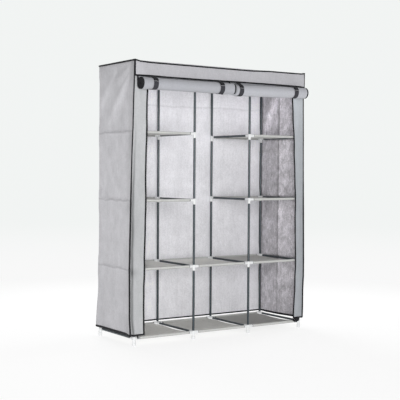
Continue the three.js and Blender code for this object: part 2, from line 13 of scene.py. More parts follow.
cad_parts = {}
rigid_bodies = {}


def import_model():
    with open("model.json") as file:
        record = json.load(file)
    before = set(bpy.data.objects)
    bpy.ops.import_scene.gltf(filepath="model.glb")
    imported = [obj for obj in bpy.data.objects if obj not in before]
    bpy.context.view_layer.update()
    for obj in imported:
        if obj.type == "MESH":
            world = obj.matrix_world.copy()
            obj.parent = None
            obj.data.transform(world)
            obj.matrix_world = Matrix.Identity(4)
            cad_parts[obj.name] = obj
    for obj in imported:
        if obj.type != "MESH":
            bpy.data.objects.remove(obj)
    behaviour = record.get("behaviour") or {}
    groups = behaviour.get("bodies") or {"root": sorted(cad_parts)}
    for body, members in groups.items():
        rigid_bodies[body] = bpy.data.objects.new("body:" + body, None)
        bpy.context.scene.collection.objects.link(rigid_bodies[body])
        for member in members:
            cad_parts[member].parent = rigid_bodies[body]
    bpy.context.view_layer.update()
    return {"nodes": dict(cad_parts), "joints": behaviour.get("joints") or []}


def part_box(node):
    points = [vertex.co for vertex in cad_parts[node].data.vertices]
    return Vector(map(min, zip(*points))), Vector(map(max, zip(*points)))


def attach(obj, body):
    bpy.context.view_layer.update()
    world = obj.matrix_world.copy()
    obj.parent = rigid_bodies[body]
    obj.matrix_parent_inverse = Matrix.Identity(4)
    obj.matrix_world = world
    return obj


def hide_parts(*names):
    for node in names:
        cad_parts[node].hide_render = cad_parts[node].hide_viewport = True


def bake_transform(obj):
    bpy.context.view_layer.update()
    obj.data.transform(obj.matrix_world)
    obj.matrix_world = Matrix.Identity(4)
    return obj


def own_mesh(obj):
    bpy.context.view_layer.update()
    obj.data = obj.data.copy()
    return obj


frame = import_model()

# %% [markdown]
# Most places follow from a few nodes. A crossways tube ends a known way inside its connector, so
# the tubes give the columns and the levels. The strips and panels give the cover's faces.

# %% Places read from the frame
mm = 0.001
tube_end_to_post = 12.5 * mm
bays = ("left", "middle", "right")


def middle(node, axis):
    """The middle of a node's box along one axis."""
    low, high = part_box(node)
    return (low[axis] + high[axis]) / 2


columns = [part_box(f"{bay}_front_tube_1")[0].x - tube_end_to_post for bay in bays]
columns.append(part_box("right_front_tube_1")[1].x + tube_end_to_post)
levels = [middle(f"left_front_tube_{n}", 2) for n in range(1, 6)]
front_post_y = middle("left_front_tube_1", 1)
back_post_y = middle("left_back_tube_1", 1)

side_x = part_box("right_side_panel")[0].x
front_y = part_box("left_front_strip")[0].y
back_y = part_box("back_panel")[0].y
hem_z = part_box("left_side_panel")[0].z
top_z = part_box("top_panel")[1].z
valance_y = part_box("top_panel")[0].y
valance_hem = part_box("valance")[0].z
header_y = {side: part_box(f"{side}_door_header")[0].y for side in ("left", "right")}
header_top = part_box("left_door_header")[1].z
header_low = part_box("left_door_header")[0].z
print("columns", [round(x, 3) for x in columns], "levels", [round(z, 3) for z in levels])

# %% [markdown]
# The camera stands to the left of the wardrobe, a little above its middle, and looks at the front
# and the left side. Its place and lens come from matching the frame's corners to the photograph.
# Its axes are worked out from three angles and written into its matrix, so nothing has to aim it.

# %% Camera
camera_place = Vector((-3.4304, -4.98175, 1.04))
camera_yaw, camera_pitch, camera_roll = 0.5965, -0.0304, 0.0069
sensor = 36.0
lens = 84.08
picture_pixels = 400
half_pixel = 0.5 / picture_pixels

forward = Vector((math.sin(camera_yaw) * math.cos(camera_pitch),
                  math.cos(camera_yaw) * math.cos(camera_pitch), math.sin(camera_pitch)))
level_right = Vector((math.cos(camera_yaw), -math.sin(camera_yaw), 0))
level_up = level_right.cross(forward)
right = level_right * math.cos(camera_roll) + level_up * math.sin(camera_roll)
up = level_up * math.cos(camera_roll) - level_right * math.sin(camera_roll)

bpy.ops.object.select_all(action="DESELECT")
bpy.ops.object.camera_add()
camera = bpy.context.object
camera.name = "camera"
camera.matrix_world = Matrix((
    (right.x, up.x, -forward.x, camera_place.x),
    (right.y, up.y, -forward.y, camera_place.y),
    (right.z, up.z, -forward.z, camera_place.z),
    (0, 0, 0, 1),
))
camera.data.sensor_width = sensor
camera.data.lens = lens
camera.data.shift_x, camera.data.shift_y = -half_pixel, half_pixel
bpy.context.scene.camera = camera
print("the camera stands", round(camera_place.xy.length, 2), "m away with a lens of", lens, "mm")

# %% [markdown]
# The sky is an even white light. A pale picture would need a strong sky, and that would wash the
# cloth out, so the sky has two faces: a faint one that lights the wardrobe, and a pale backdrop
# that only the camera and mirror-like surfaces see. Light Path tells them apart. A sky, like a
# material, is a tree of nodes, and two helpers for such trees come first.

# %% Sky
def math_node(tree, operation, first, second=None):
    """The result of one Math node; each input is a number or another node's socket."""
    node = tree.nodes.new("ShaderNodeMath")
    node.operation = operation
    for number, value in enumerate((first, second)):
        if isinstance(value, bpy.types.NodeSocket):
            tree.links.new(value, node.inputs[number])
        elif value is not None:
            node.inputs[number].default_value = value
    return node.outputs[0]


def emptied_tree(owner):
    """The node tree of a material or a world, with nothing in it yet."""
    owner.use_nodes = True
    owner.node_tree.nodes.clear()
    return owner.node_tree


bpy.context.scene.view_settings.view_transform = "Standard"
sky_light = 0.34
backdrop_colour = (0.885, 0.905, 0.895, 1)

world = bpy.data.worlds.new("studio")
bpy.context.scene.world = world
tree = emptied_tree(world)
seen = tree.nodes.new("ShaderNodeLightPath")
either = math_node(tree, "MAXIMUM", seen.outputs["Is Camera Ray"], seen.outputs["Is Glossy Ray"])
lighting = tree.nodes.new("ShaderNodeBackground")
lighting.inputs["Color"].default_value = (1, 1, 1, 1)
lighting.inputs["Strength"].default_value = sky_light
backdrop = tree.nodes.new("ShaderNodeBackground")
backdrop.inputs["Color"].default_value = backdrop_colour
mix = tree.nodes.new("ShaderNodeMixShader")
out = tree.nodes.new("ShaderNodeOutputWorld")
tree.links.new(either, mix.inputs["Fac"])
tree.links.new(lighting.outputs[0], mix.inputs[1])
tree.links.new(backdrop.outputs[0], mix.inputs[2])
tree.links.new(mix.outputs[0], out.inputs["Surface"])
print("the sky lights with", sky_light, "and looks", backdrop_colour[:3])

# %% [markdown]
# Soft studio light: one large lamp near the camera, and fainter ones from the sides and from
# behind, so that no side of the wardrobe is black. A large lamp gives a soft shadow. Each one is
# turned towards the wardrobe's middle with a quaternion, which needs no angles worked out by hand.

# %% Lamps
def soft_lamp(name, place, target, size, power):
    """An area lamp at a place, turned towards a target."""
    bpy.ops.object.light_add(type="AREA", location=place)
    lamp = bpy.context.object
    lamp.name = name
    lamp.data.size = size
    lamp.data.energy = power
    lamp.rotation_mode = "QUATERNION"
    lamp.rotation_quaternion = (Vector(place) - Vector(target)).to_track_quat("Z", "Y")
    return lamp


aim = (0, 0, 0.85)
soft_lamp("front_lamp", (-3.0, -5.0, 1.3), aim, 2.6, 205)
soft_lamp("left_lamp", (-4.6, 1.2, 2.0), aim, 3.0, 38)
soft_lamp("right_lamp", (4.6, 0.4, 2.0), aim, 3.0, 110)
soft_lamp("back_lamp", (0.8, 5.0, 2.0), aim, 3.2, 190)

# %% [markdown]
# The real top is thin, and some daylight comes down through it. The cloth here is opaque, so a
# long faint lamp under the top stands for that light. It leans towards the back, and the camera
# doesn't see it.

# %% Light that comes through the top
through_place = (0.05, -0.10, 1.650)
through_length, through_width = 1.24, 0.05
through_lean = math.radians(56)
through = soft_lamp("light_through_the_top", through_place, aim, through_length, 0.58)
through.data.shape = "RECTANGLE"
through.data.size_y = through_width
through.rotation_mode = "XYZ"
through.rotation_euler = (through_lean, 0, 0)
through.visible_camera = False
print("a lamp of", through.data.energy, "watts stands for the light through the top")

# %% [markdown]
# The floor is a plain pale sheet. Near the wardrobe it is mostly paint, which keeps the shadow.
# Further away more and more of it glows, until it has the backdrop's colour, so there is no
# horizon. The distance from the origin drives both changes.

# %% Floor
floor_size = 60
floor_paint = (0.93, 0.93, 0.93, 1)
shadow_reach, glow_reach = 1.1, 3.4
least_glow_share = 0.7
glow_gain, glow_base = 0.34, 0.66
tint_from, tint_to = 3.0, 14.0
near_glow = (0.94, 0.94, 0.94)

bpy.ops.mesh.primitive_plane_add(size=floor_size)
floor = bpy.context.object
floor.name = "floor"
floor_material = bpy.data.materials.new("pale floor")
tree = emptied_tree(floor_material)
place = tree.nodes.new("ShaderNodeTexCoord")
distance = tree.nodes.new("ShaderNodeVectorMath")
distance.operation = "LENGTH"
tree.links.new(place.outputs["Object"], distance.inputs[0])

fade = tree.nodes.new("ShaderNodeMapRange")
fade.interpolation_type = "SMOOTHSTEP"
fade.inputs["From Min"].default_value = shadow_reach
fade.inputs["From Max"].default_value = glow_reach
fade.inputs["To Min"].default_value = least_glow_share
tree.links.new(distance.outputs["Value"], fade.inputs["Value"])
painted = tree.nodes.new("ShaderNodeBsdfDiffuse")
painted.inputs["Color"].default_value = floor_paint
glow = tree.nodes.new("ShaderNodeEmission")
share_of_paint = math_node(tree, "DIVIDE", glow_gain, fade.outputs["Result"])
tree.links.new(math_node(tree, "ADD", share_of_paint, glow_base), glow.inputs["Strength"])

# On vectors, Map Range keeps its value and its four limits in inputs 6 to 10.
tint = tree.nodes.new("ShaderNodeMapRange")
tint.data_type = "FLOAT_VECTOR"
tint.interpolation_type = "SMOOTHSTEP"
tint.inputs[7].default_value = (tint_from, tint_from, tint_from)
tint.inputs[8].default_value = (tint_to, tint_to, tint_to)
tint.inputs[9].default_value = near_glow
tint.inputs[10].default_value = backdrop_colour[:3]
tree.links.new(distance.outputs["Value"], tint.inputs[6])
tree.links.new(tint.outputs[1], glow.inputs["Color"])
mix = tree.nodes.new("ShaderNodeMixShader")
out = tree.nodes.new("ShaderNodeOutputMaterial")
tree.links.new(fade.outputs["Result"], mix.inputs["Fac"])
tree.links.new(painted.outputs[0], mix.inputs[1])
tree.links.new(glow.outputs[0], mix.inputs[2])
tree.links.new(mix.outputs[0], out.inputs["Surface"])
floor.data.materials.append(floor_material)
print("the floor fades from paint to glow between", shadow_reach, "and", glow_reach, "m")

# %% [markdown]
# Every finish starts from the Principled shader. A real surface is never one flat colour, so a
# slow noise makes it a little darker and lighter. Object coordinates are in metres, which keeps
# the noise the same size on every piece.

# %% Parts of every material
def principled(name, colour, roughness, metallic=0.0):
    """A new material and its shader, with a plain colour."""
    material = bpy.data.materials.new(name)
    material.use_nodes = True
    shader = material.node_tree.nodes["Principled BSDF"]
    shader.inputs["Base Color"].default_value = (*colour, 1)
    shader.inputs["Roughness"].default_value = roughness
    shader.inputs["Metallic"].default_value = metallic
    return material, shader


def noise_factor(tree, scale, stretch, detail, low, high):
    """A value from low to high that drifts over the surface in clouds, longer along some axes."""
    coordinates = tree.nodes.new("ShaderNodeTexCoord")
    mapping = tree.nodes.new("ShaderNodeMapping")
    mapping.inputs["Scale"].default_value = stretch
    texture = tree.nodes.new("ShaderNodeTexNoise")
    texture.inputs["Scale"].default_value = scale
    texture.inputs["Detail"].default_value = detail
    texture.inputs["Roughness"].default_value = 0.6
    spread = tree.nodes.new("ShaderNodeMapRange")
    spread.inputs["From Min"].default_value = 0.3
    spread.inputs["From Max"].default_value = 0.7
    spread.inputs["To Min"].default_value = low
    spread.inputs["To Max"].default_value = high
    tree.links.new(coordinates.outputs["Object"], mapping.inputs["Vector"])
    tree.links.new(mapping.outputs["Vector"], texture.inputs["Vector"])
    tree.links.new(texture.outputs["Fac"], spread.inputs["Value"])
    return spread.outputs["Result"]


def shade_colour(tree, shader, colour, factor):
    """Multiplies the base colour by a drifting factor."""
    node = tree.nodes.new("ShaderNodeVectorMath")
    node.operation = "SCALE"
    node.inputs[0].default_value = colour
    tree.links.new(factor, node.inputs["Scale"])
    tree.links.new(node.outputs[0], shader.inputs["Base Color"])


def bumped(tree, shader, height, strength, distance):
    """Lets a height tilt the shader's surface, without moving any point of the mesh."""
    bump = tree.nodes.new("ShaderNodeBump")
    bump.inputs["Strength"].default_value = strength
    bump.inputs["Distance"].default_value = distance
    tree.links.new(height, bump.inputs["Height"])
    tree.links.new(bump.outputs["Normal"], shader.inputs["Normal"])


even = (1, 1, 1)
print("noise that isn't stretched has the scale", even)

# %% [markdown]
# Cloth that has hung on a frame shows two kinds of crease, and their shade is painted into the colour. A
# level one, where a tube or the packing pressed it, gets a thin soft line of painted shade at one height, and
# nodes draw it. The others follow no rule, so their painted shade, and some painted light, is stored on the
# sheet's points later, and the material only has to read it.

# %% Painted shade of creases in the cloth's colour
line_width = 10 * mm
line_waver = 6 * mm


def crease_shade_lines(tree, heights, depth):
    """A factor that is one nearly everywhere and less in a thin soft line of painted shade at each height."""
    coordinates = tree.nodes.new("ShaderNodeTexCoord")
    split = tree.nodes.new("ShaderNodeSeparateXYZ")
    tree.links.new(coordinates.outputs["Object"], split.inputs[0])
    waver = noise_factor(tree, 9, even, 2, -line_waver, line_waver)
    total = None
    for height in heights:
        wavy = math_node(tree, "ADD", split.outputs["Z"], waver)
        away = math_node(tree, "ABSOLUTE", math_node(tree, "SUBTRACT", wavy, height))
        line = tree.nodes.new("ShaderNodeMapRange")
        line.interpolation_type = "SMOOTHSTEP"
        line.inputs["From Max"].default_value = line_width
        line.inputs["To Min"].default_value = 1 - depth
        tree.links.new(away, line.inputs["Value"])
        drawn = line.outputs["Result"]
        total = math_node(tree, "MULTIPLY", total, drawn) if total else drawn
    return total


def painted_shade_marks(tree):
    """A factor that is one less the painted shade marked on the sheet's points; a mark below zero gives
    painted light.
    """
    marks = tree.nodes.new("ShaderNodeAttribute")
    marks.attribute_name = "crease"
    return math_node(tree, "SUBTRACT", 1, marks.outputs["Fac"])


print("a pressed line is", round(2 * line_width / mm), "mm wide and wavers by", round(line_waver / mm), "mm")

# %% [markdown]
# The cover is spun-bonded cloth: fibres pressed together, with a fine grid of pressed dots. It
# looks even from afar, with faint clouds and streaks where the fibres lie thicker. Noise gives
# the clouds, stretched noise the streaks, and a regular Voronoi pattern the pressed dots.

# %% Pressed cloth
dot_scale = 620
dot_depth = 0.4 * mm
fibre_sheen = 0.12


def pressed_cloth(name, colour, clouds=0.04, streaks=0.04, dots=0.25, grain=0.07, creases=(), depth=0.16,
                  streak_length=0.16):
    """Spun-bonded cloth. Clouds, streaks and grain say how far the colour drifts, from large to small;
    creases are the heights of its lines of painted crease shade, and depth says how dark they are."""
    material, shader = principled(name, colour, 0.88)
    tree = material.node_tree
    cloud = noise_factor(tree, 14, even, 6, 1 - clouds, 1 + clouds)
    streak = noise_factor(tree, 70, (1, 1, streak_length), 4, 1 - streaks, 1 + streaks)
    speck = noise_factor(tree, 190, (1, 1, 0.7), 2, 1 - grain, 1 + grain)
    both = math_node(tree, "MULTIPLY", math_node(tree, "MULTIPLY", cloud, speck), streak)
    # Painted shade and light, marked on the sheet's points, darken or lighten the colour here.
    both = math_node(tree, "MULTIPLY", both, painted_shade_marks(tree))
    if creases:
        both = math_node(tree, "MULTIPLY", both, crease_shade_lines(tree, creases, depth))
    shade_colour(tree, shader, colour, both)
    shader.inputs["Sheen Weight"].default_value = fibre_sheen
    shader.inputs["Sheen Roughness"].default_value = 0.6
    coordinates = tree.nodes.new("ShaderNodeTexCoord")
    pressed = tree.nodes.new("ShaderNodeTexVoronoi")
    pressed.inputs["Scale"].default_value = dot_scale
    pressed.inputs["Randomness"].default_value = 0.12
    tree.links.new(coordinates.outputs["Object"], pressed.inputs["Vector"])
    bumped(tree, shader, math_node(tree, "MULTIPLY", pressed.outputs["Distance"], streak), dots, dot_depth)
    return material


print("the pressed dots stand", round(1 / dot_scale / mm, 1), "mm apart")

# %% [markdown]
# The same cloth is given different colours from piece to piece, which paint in how light falls on it. Outside
# it is a light grey, painted bluer where it turns from the light. Inside it is painted paler and more cloudy,
# for the daylight that comes through it.

# %% The wardrobe's cloths
packing_crease_z = 1.475
cloth_grey = pressed_cloth("light grey cloth", (0.465, 0.460, 0.485))
# The sides get thin lines of painted shade at the tube levels.
side_grey = pressed_cloth("light grey cloth with painted crease shade at the tubes", (0.455, 0.450, 0.472), 0.08,
                          0.05, grain=0.10, creases=levels[1:4], depth=0.22)
strip_grey = pressed_cloth("light grey cloth of the strips", (0.445, 0.452, 0.462))
# The right strip is painted bluer and darker, as shade where it turns from the light.
right_strip_cloth_painted_shade = pressed_cloth("bluish grey cloth of the right strip", (0.375, 0.395, 0.42))
roll_grey = pressed_cloth("light grey cloth of the doors", (0.40, 0.405, 0.437), 0.02, 0.02)
# The insides are painted paler than the outside, as the light that comes through the cloth; the back's inside
# also has a line of painted shade at the packing crease.
paler_inside_painted_light = pressed_cloth("inside painted pale as light through the cloth", (0.82, 0.815, 0.85), 0.06, 0.05,
                            grain=0.10, creases=(packing_crease_z,), depth=0.13)
mauve_inside_painted_light = pressed_cloth("mauve grey inside painted pale as light", (0.54, 0.52, 0.555), 0.30, 0.25, grain=0.27,
                            streak_length=0.45)
shelf_grey = pressed_cloth("warm grey shelf cloth", (0.53, 0.525, 0.50), 0.04, 0.03)
shelf_hem = pressed_cloth("pale shelf sleeve cloth", (0.54, 0.545, 0.53), 0.03, 0.02)
print("the sides' level creases are at", [round(z, 3) for z in levels[1:4]], "m")

# %% [markdown]
# The tapes are woven polyester. On the straps the weave makes small ribs across the band, which
# a wave along the band's own length gives. On the narrow piping only the sheen shows.

# %% Woven tapes
def woven_tape(name, colour, ribs_across=0.0):
    """Woven tape; ribs_across is the wave's scale along the band's own UV length, in metres."""
    material, shader = principled(name, colour, 0.75)
    tree = material.node_tree
    shade_colour(tree, shader, colour, noise_factor(tree, 160, even, 3, 0.8, 1.25))
    shader.inputs["Specular IOR Level"].default_value = 0.22
    if ribs_across:
        coordinates = tree.nodes.new("ShaderNodeTexCoord")
        wave = tree.nodes.new("ShaderNodeTexWave")
        wave.bands_direction = "Y"
        wave.inputs["Scale"].default_value = ribs_across
        tree.links.new(coordinates.outputs["UV"], wave.inputs["Vector"])
        bumped(tree, shader, wave.outputs["Fac"], 0.6, 0.8 * mm)
    return material


piping_black = woven_tape("black piping", (0.008, 0.008, 0.010))
strap_black = woven_tape("black strap webbing", (0.010, 0.010, 0.013), 12)
strap_ribbed = woven_tape("dark grey ribbed strap tape", (0.038, 0.038, 0.045), 12)
print("tapes:", piping_black.name, strap_black.name, strap_ribbed.name, sep=", ")

# %% [markdown]
# The tubes are painted a dark slate with a thin clear coat. The connectors are plain white plastic,
# and the zip sliders are dark metal. All are nearly even, so a faint noise is enough for them.

# %% Paint, plastic, metal and thread
slate = (0.026, 0.038, 0.046)
tube_paint, shader = principled("slate tube paint", slate, 0.3, 0.3)
shader.inputs["Coat Weight"].default_value = 0.25
shader.inputs["Coat Roughness"].default_value = 0.2
tree = tube_paint.node_tree
shade_colour(tree, shader, slate, noise_factor(tree, 60, even, 4, 0.9, 1.1))

white = (0.73, 0.74, 0.745)
white_plastic, shader = principled("white connector plastic", white, 0.36)
tree = white_plastic.node_tree
shade_colour(tree, shader, white, noise_factor(tree, 40, even, 3, 0.97, 1.02))

dark_metal = (0.10, 0.10, 0.105)
zip_metal, shader = principled("dark zip metal", dark_metal, 0.3, 0.9)
tree = zip_metal.node_tree
shade_colour(tree, shader, dark_metal, noise_factor(tree, 300, even, 3, 0.8, 1.2))
pale_thread, shader = principled("pale stitching thread", (0.5, 0.5, 0.52), 0.8)
print("the scene has", len(bpy.data.materials), "materials now")

# %% [markdown]
# Some helpers that every cell uses. Operators act on whatever is selected, so each step starts
# from an empty selection. A finished piece rides on its body and names its material slot.

# %% Helpers for every piece
def clear_selection():
    """Leaves edit mode and deselects everything."""
    if bpy.context.object and bpy.context.object.mode != "OBJECT":
        bpy.ops.object.mode_set(mode="OBJECT")
    bpy.ops.object.select_all(action="DESELECT")


def choose(obj):
    """Selects one object alone and makes it the active one."""
    clear_selection()
    obj.select_set(True)
    bpy.context.view_layer.objects.active = obj


def apply_modifiers(obj):
    """Turns all of an object's modifiers into mesh."""
    choose(obj)
    for modifier in list(obj.modifiers):
        bpy.ops.object.modifier_apply(modifier=modifier.name)


def smooth(obj, angle=35):
    """Shades smooth, but for edges that turn by more than the angle in degrees."""
    choose(obj)
    bpy.ops.object.shade_smooth_by_angle(angle=math.radians(angle))


def dress(obj, body, materials, nodes=()):
    """Gives a piece its materials, body and slot, and says which nodes it stands for."""
    if materials and not obj.data.materials:
        for material in materials:
            obj.data.materials.append(material)
    if nodes:
        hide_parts(*nodes)
    if body:
        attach(obj, body)
    return obj


def copy_of(obj, name, offset=(0, 0, 0)):
    """A copy with its own mesh, moved in the mesh."""
    twin = obj.copy()
    twin.data = obj.data.copy()
    twin.name = name
    twin.data.transform(Matrix.Translation(Vector(offset)))
    bpy.context.collection.objects.link(twin)
    return twin


clear_selection()
print("selected now:", len(bpy.context.selected_objects))

# %% [markdown]
# Soft shapes are written as formulas, and three small functions carry most of them: a change
# without a corner, a bump that fades on both sides, and a smooth random drift that is the same at
# every run.

# %% Helpers for soft shapes
def blend_value(value, low, high):
    """Zero below low, one above high, with a soft change between."""
    share = min(1.0, max(0.0, (value - low) / (high - low)))
    return share * share * (3 - 2 * share)


def hill(distance, width):
    """One at no distance, and about a third at the width."""
    return math.exp(-((distance / width) ** 2))


def drift(x, y, z, size, seed):
    """A smooth random value from about -1 to 1 that changes over the given size."""
    return noise.noise(Vector((x / size + seed, y / size - seed, z / size + 2 * seed)))


print("the soft change at quarters:", [round(blend_value(i / 4, 0, 1), 2) for i in range(5)])

# %% [markdown]
# The frame is made of thin steel tubes. A tube could be a bare cylinder, but its open ends show in
# a close view, so each end is inset by the wall and pushed in. One tube of each length is modelled
# upright, and the others are copies of it, turned in their own mesh.

# %% A tube
tube_radius = 7.4 * mm
tube_wall = 0.8 * mm
tube_sides = 28
bore_depth = 25 * mm


def select_faces(obj, test):
    """In edit mode, selects the faces whose centre and normal pass the test."""
    bpy.ops.object.mode_set(mode="OBJECT")
    for polygon in obj.data.polygons:
        polygon.select = test(polygon.center, polygon.normal)
    bpy.ops.object.mode_set(mode="EDIT")


def tube(name, length):
    """An upright tube round the origin, with a bore pushed into each end."""
    clear_selection()
    bpy.ops.mesh.primitive_cylinder_add(vertices=tube_sides, radius=tube_radius, depth=length)
    made = bpy.context.object
    made.name = name
    bpy.ops.object.mode_set(mode="EDIT")
    bpy.ops.mesh.select_mode(type="FACE")
    for end in (-1, 1):
        bpy.ops.mesh.select_all(action="DESELECT")
        select_faces(made, lambda centre, normal: normal.z * end > 0.9)
        bpy.ops.mesh.inset(thickness=tube_wall)
        bpy.ops.mesh.extrude_region_move(TRANSFORM_OT_translate={"value": (0, 0, -end * bore_depth)})
    bpy.ops.object.mode_set(mode="OBJECT")
    smooth(made)
    return made


def turned_copy(obj, name, axis, centre):
    """A copy that lies along X, Y or Z, with its middle at centre."""
    twin = copy_of(obj, name)
    turn = {"X": Matrix.Rotation(math.pi / 2, 4, "Y"), "Y": Matrix.Rotation(math.pi / 2, 4, "X"),
            "Z": Matrix.Identity(4)}[axis]
    twin.data.transform(Matrix.Translation(Vector(centre)) @ turn)
    return twin


print("a tube is", round(2 * tube_radius / mm, 1), "mm thick with a wall of", round(tube_wall / mm, 1), "mm")

# %% [markdown]
# The crossways tubes run from post to post along the front and the back, with the hanging rail as
# one more. They are all one length, so one pattern serves them all. It is removed at the end.

# %% Crossways tubes
cross_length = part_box("left_front_tube_1")[1].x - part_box("left_front_tube_1")[0].x
cross_pattern = tube("cross tube pattern", cross_length)
cross_nodes = [node for node in frame["nodes"] if "_tube_" in node] + ["hanging_rail"]
for node in cross_nodes:
    centre = [middle(node, axis) for axis in range(3)]
    piece = turned_copy(cross_pattern, f"{node}_steel", "X", centre)
    dress(piece, "wardrobe", [tube_paint], [node])
bpy.data.objects.remove(cross_pattern)
print(len(cross_nodes), "crossways tubes, each", round(cross_length, 3), "m long")

# %% [markdown]
# Two posts and five depth tubes make one upright ladder, and the wardrobe has four ladders. A
# ladder is one node in the solid model, so all its tubes stand for that node.

# %% Posts and depth tubes
post_low, post_top = 12 * mm, levels[4] - 2 * mm
post_pattern = tube("post pattern", post_top - post_low)
depth_length = back_post_y - front_post_y - 2 * tube_end_to_post
depth_pattern = tube("depth tube pattern", depth_length)
upright_names = ("left_end_frame", "left_middle_frame", "right_middle_frame", "right_end_frame")
for upright, x in zip(upright_names, columns):
    side = upright.replace("_frame", "")
    for place_name, y in (("front", front_post_y), ("back", back_post_y)):
        piece = turned_copy(post_pattern, f"{side}_{place_name}_post", "Z", (x, y, (post_low + post_top) / 2))
        dress(piece, "wardrobe", [tube_paint], [upright])
    for number, z in enumerate(levels, 1):
        piece = turned_copy(depth_pattern, f"{side}_depth_tube_{number}", "Y",
                            (x, (front_post_y + back_post_y) / 2, z))
        dress(piece, "wardrobe", [tube_paint], [upright])
bpy.data.objects.remove(post_pattern)
bpy.data.objects.remove(depth_pattern)
print("8 posts of", round(post_top - post_low, 3), "m and 20 depth tubes of", round(depth_length, 3), "m")

# %% [markdown]
# The connectors are white moulded sockets that meet in a small block. Each socket is a turned
# profile with a thicker rim at its mouth and a bore for the tube. The sockets of one connector are
# joined with the Boolean modifier, which gives real seams where they meet.

# %% Connector sockets
socket_radius = 9.6 * mm
socket_rim = 10.2 * mm
socket_reach = 32 * mm
socket_start = -2 * mm
rim_length, rim_lip = 4 * mm, 0.6 * mm
sleeve_drop = 27 * mm
hub_top = 9.6 * mm
bore_radius = 7.6 * mm
socket_bore = 18 * mm
turned_steps = 26
merge_distance = 0.01 * mm


def turned(name, profile):
    """Spins a profile of radius and height round the Z axis into one closed body."""
    mesh = bpy.data.meshes.new(name)
    points = [(radius, 0, height) for radius, height in profile]
    mesh.from_pydata(points, [(i, i + 1) for i in range(len(points) - 1)], [])
    made = bpy.data.objects.new(name, mesh)
    bpy.context.collection.objects.link(made)
    choose(made)
    bpy.ops.object.mode_set(mode="EDIT")
    bpy.ops.mesh.select_all(action="SELECT")
    bpy.ops.mesh.spin(steps=turned_steps, angle=2 * math.pi, center=(0, 0, 0), axis=(0, 0, 1))
    bpy.ops.mesh.select_all(action="SELECT")
    bpy.ops.mesh.remove_doubles(threshold=merge_distance)
    bpy.ops.mesh.normals_make_consistent(inside=False)
    bpy.ops.object.mode_set(mode="OBJECT")
    return made


def socket(name):
    """A socket that points up from the origin, with its rim and its bore."""
    mouth = socket_reach
    return turned(name, [
        (0, socket_start), (socket_radius, socket_start), (socket_radius, mouth - rim_length - rim_lip),
        (socket_rim, mouth - rim_length), (socket_rim, mouth - rim_lip), (socket_rim - rim_lip, mouth),
        (bore_radius, mouth), (bore_radius, mouth - socket_bore), (0, mouth - socket_bore),
    ])


def aim_at(obj, direction):
    """Turns a piece that points up, so that it points in a direction."""
    obj.data.transform(Vector(direction).to_track_quat("Z", "Y").to_matrix().to_4x4())
    return obj


def joined(name, pieces):
    """One body from several that overlap, under the name given."""
    body = pieces[0]
    body.name = name
    for other in pieces[1:]:
        union = body.modifiers.new("union", "BOOLEAN")
        union.operation = "UNION"
        union.solver = "EXACT"
        union.object = other
        apply_modifiers(body)
        bpy.data.objects.remove(other)
    smooth(body)
    return body


def connector(name, ways):
    """A connector at the origin: a sleeve round the post, and a socket each way named."""
    sleeve = turned("sleeve", [
        (0, -sleeve_drop), (socket_rim - rim_lip, -sleeve_drop), (socket_rim, -sleeve_drop + 0.8 * mm),
        (socket_rim, rim_length - sleeve_drop), (socket_radius, rim_length + rim_lip - sleeve_drop),
        (socket_radius, hub_top - 1.2 * mm), (socket_radius - 1.2 * mm, hub_top), (0, hub_top),
    ])
    arms = [aim_at(socket("arm"), way) for way in ways]
    clear_selection()
    bpy.ops.mesh.primitive_cube_add(size=2 * (socket_radius - 1.5 * mm))
    block = bpy.context.object
    for vertex in block.data.vertices:
        vertex.co.z = min(vertex.co.z, hub_top - 0.3 * mm)
    bevel = block.modifiers.new("soft edges", "BEVEL")
    bevel.width = 2.2 * mm
    bevel.segments = 3
    apply_modifiers(block)
    return joined(name, [sleeve, block, *arms])


print("a socket reaches", round(socket_reach / mm), "mm and its rim is", round(2 * socket_rim / mm, 1),
      "mm wide")

# %% [markdown]
# A connector has a socket for each tube that meets there: two at a corner, three in a row, and
# fewer where the middle bay has no shelf. The sets that occur are modelled once each and copied.
# The hanging rail ends in two tees of its own.

# %% Place the connectors
collar_half = 14 * mm
patterns = {}
placed = 0
for upright, column, x in zip(upright_names, range(4), columns):
    side = upright.replace("_frame", "")
    for place_name, y, inward in (("front", front_post_y, 1), ("back", back_post_y, -1)):
        for number, z in enumerate(levels, 1):
            ways = [(0, inward, 0)]
            for way, bay in ((-1, column - 1), (1, column)):
                if 0 <= bay < 3 and f"{bays[bay]}_{place_name}_tube_{number}" in frame["nodes"]:
                    ways.append((way, 0, 0))
            key = tuple(ways)
            if key not in patterns:
                patterns[key] = connector(f"connector pattern {len(patterns)}", ways)
            piece = copy_of(patterns[key], f"{side}_{place_name}_connector_{number}", (x, y, z))
            dress(piece, "wardrobe", [white_plastic], [upright])
            placed += 1
for pattern in patterns.values():
    bpy.data.objects.remove(pattern)

for upright, way, x in (("left_middle_frame", 1, columns[1]), ("right_middle_frame", -1, columns[2])):
    arm = aim_at(socket("arm"), (way, 0, 0))
    collar = aim_at(turned("collar", [(0, -collar_half), (socket_radius, -collar_half),
                                      (socket_radius, collar_half), (0, collar_half)]), (0, 1, 0))
    tee = joined(f"{upright.replace('_frame', '')}_rail_tee", [collar, arm])
    tee.data.transform(Matrix.Translation((x, middle("hanging_rail", 1), levels[4])))
    dress(tee, "wardrobe", [white_plastic], [upright])
print(placed, "connectors from", len(patterns), "patterns, and 2 rail tees")

# %% [markdown]
# The feet are short caps under the lowest sleeves, a little wider than the post, with a rounded
# lower edge. One is turned from a profile and copied.

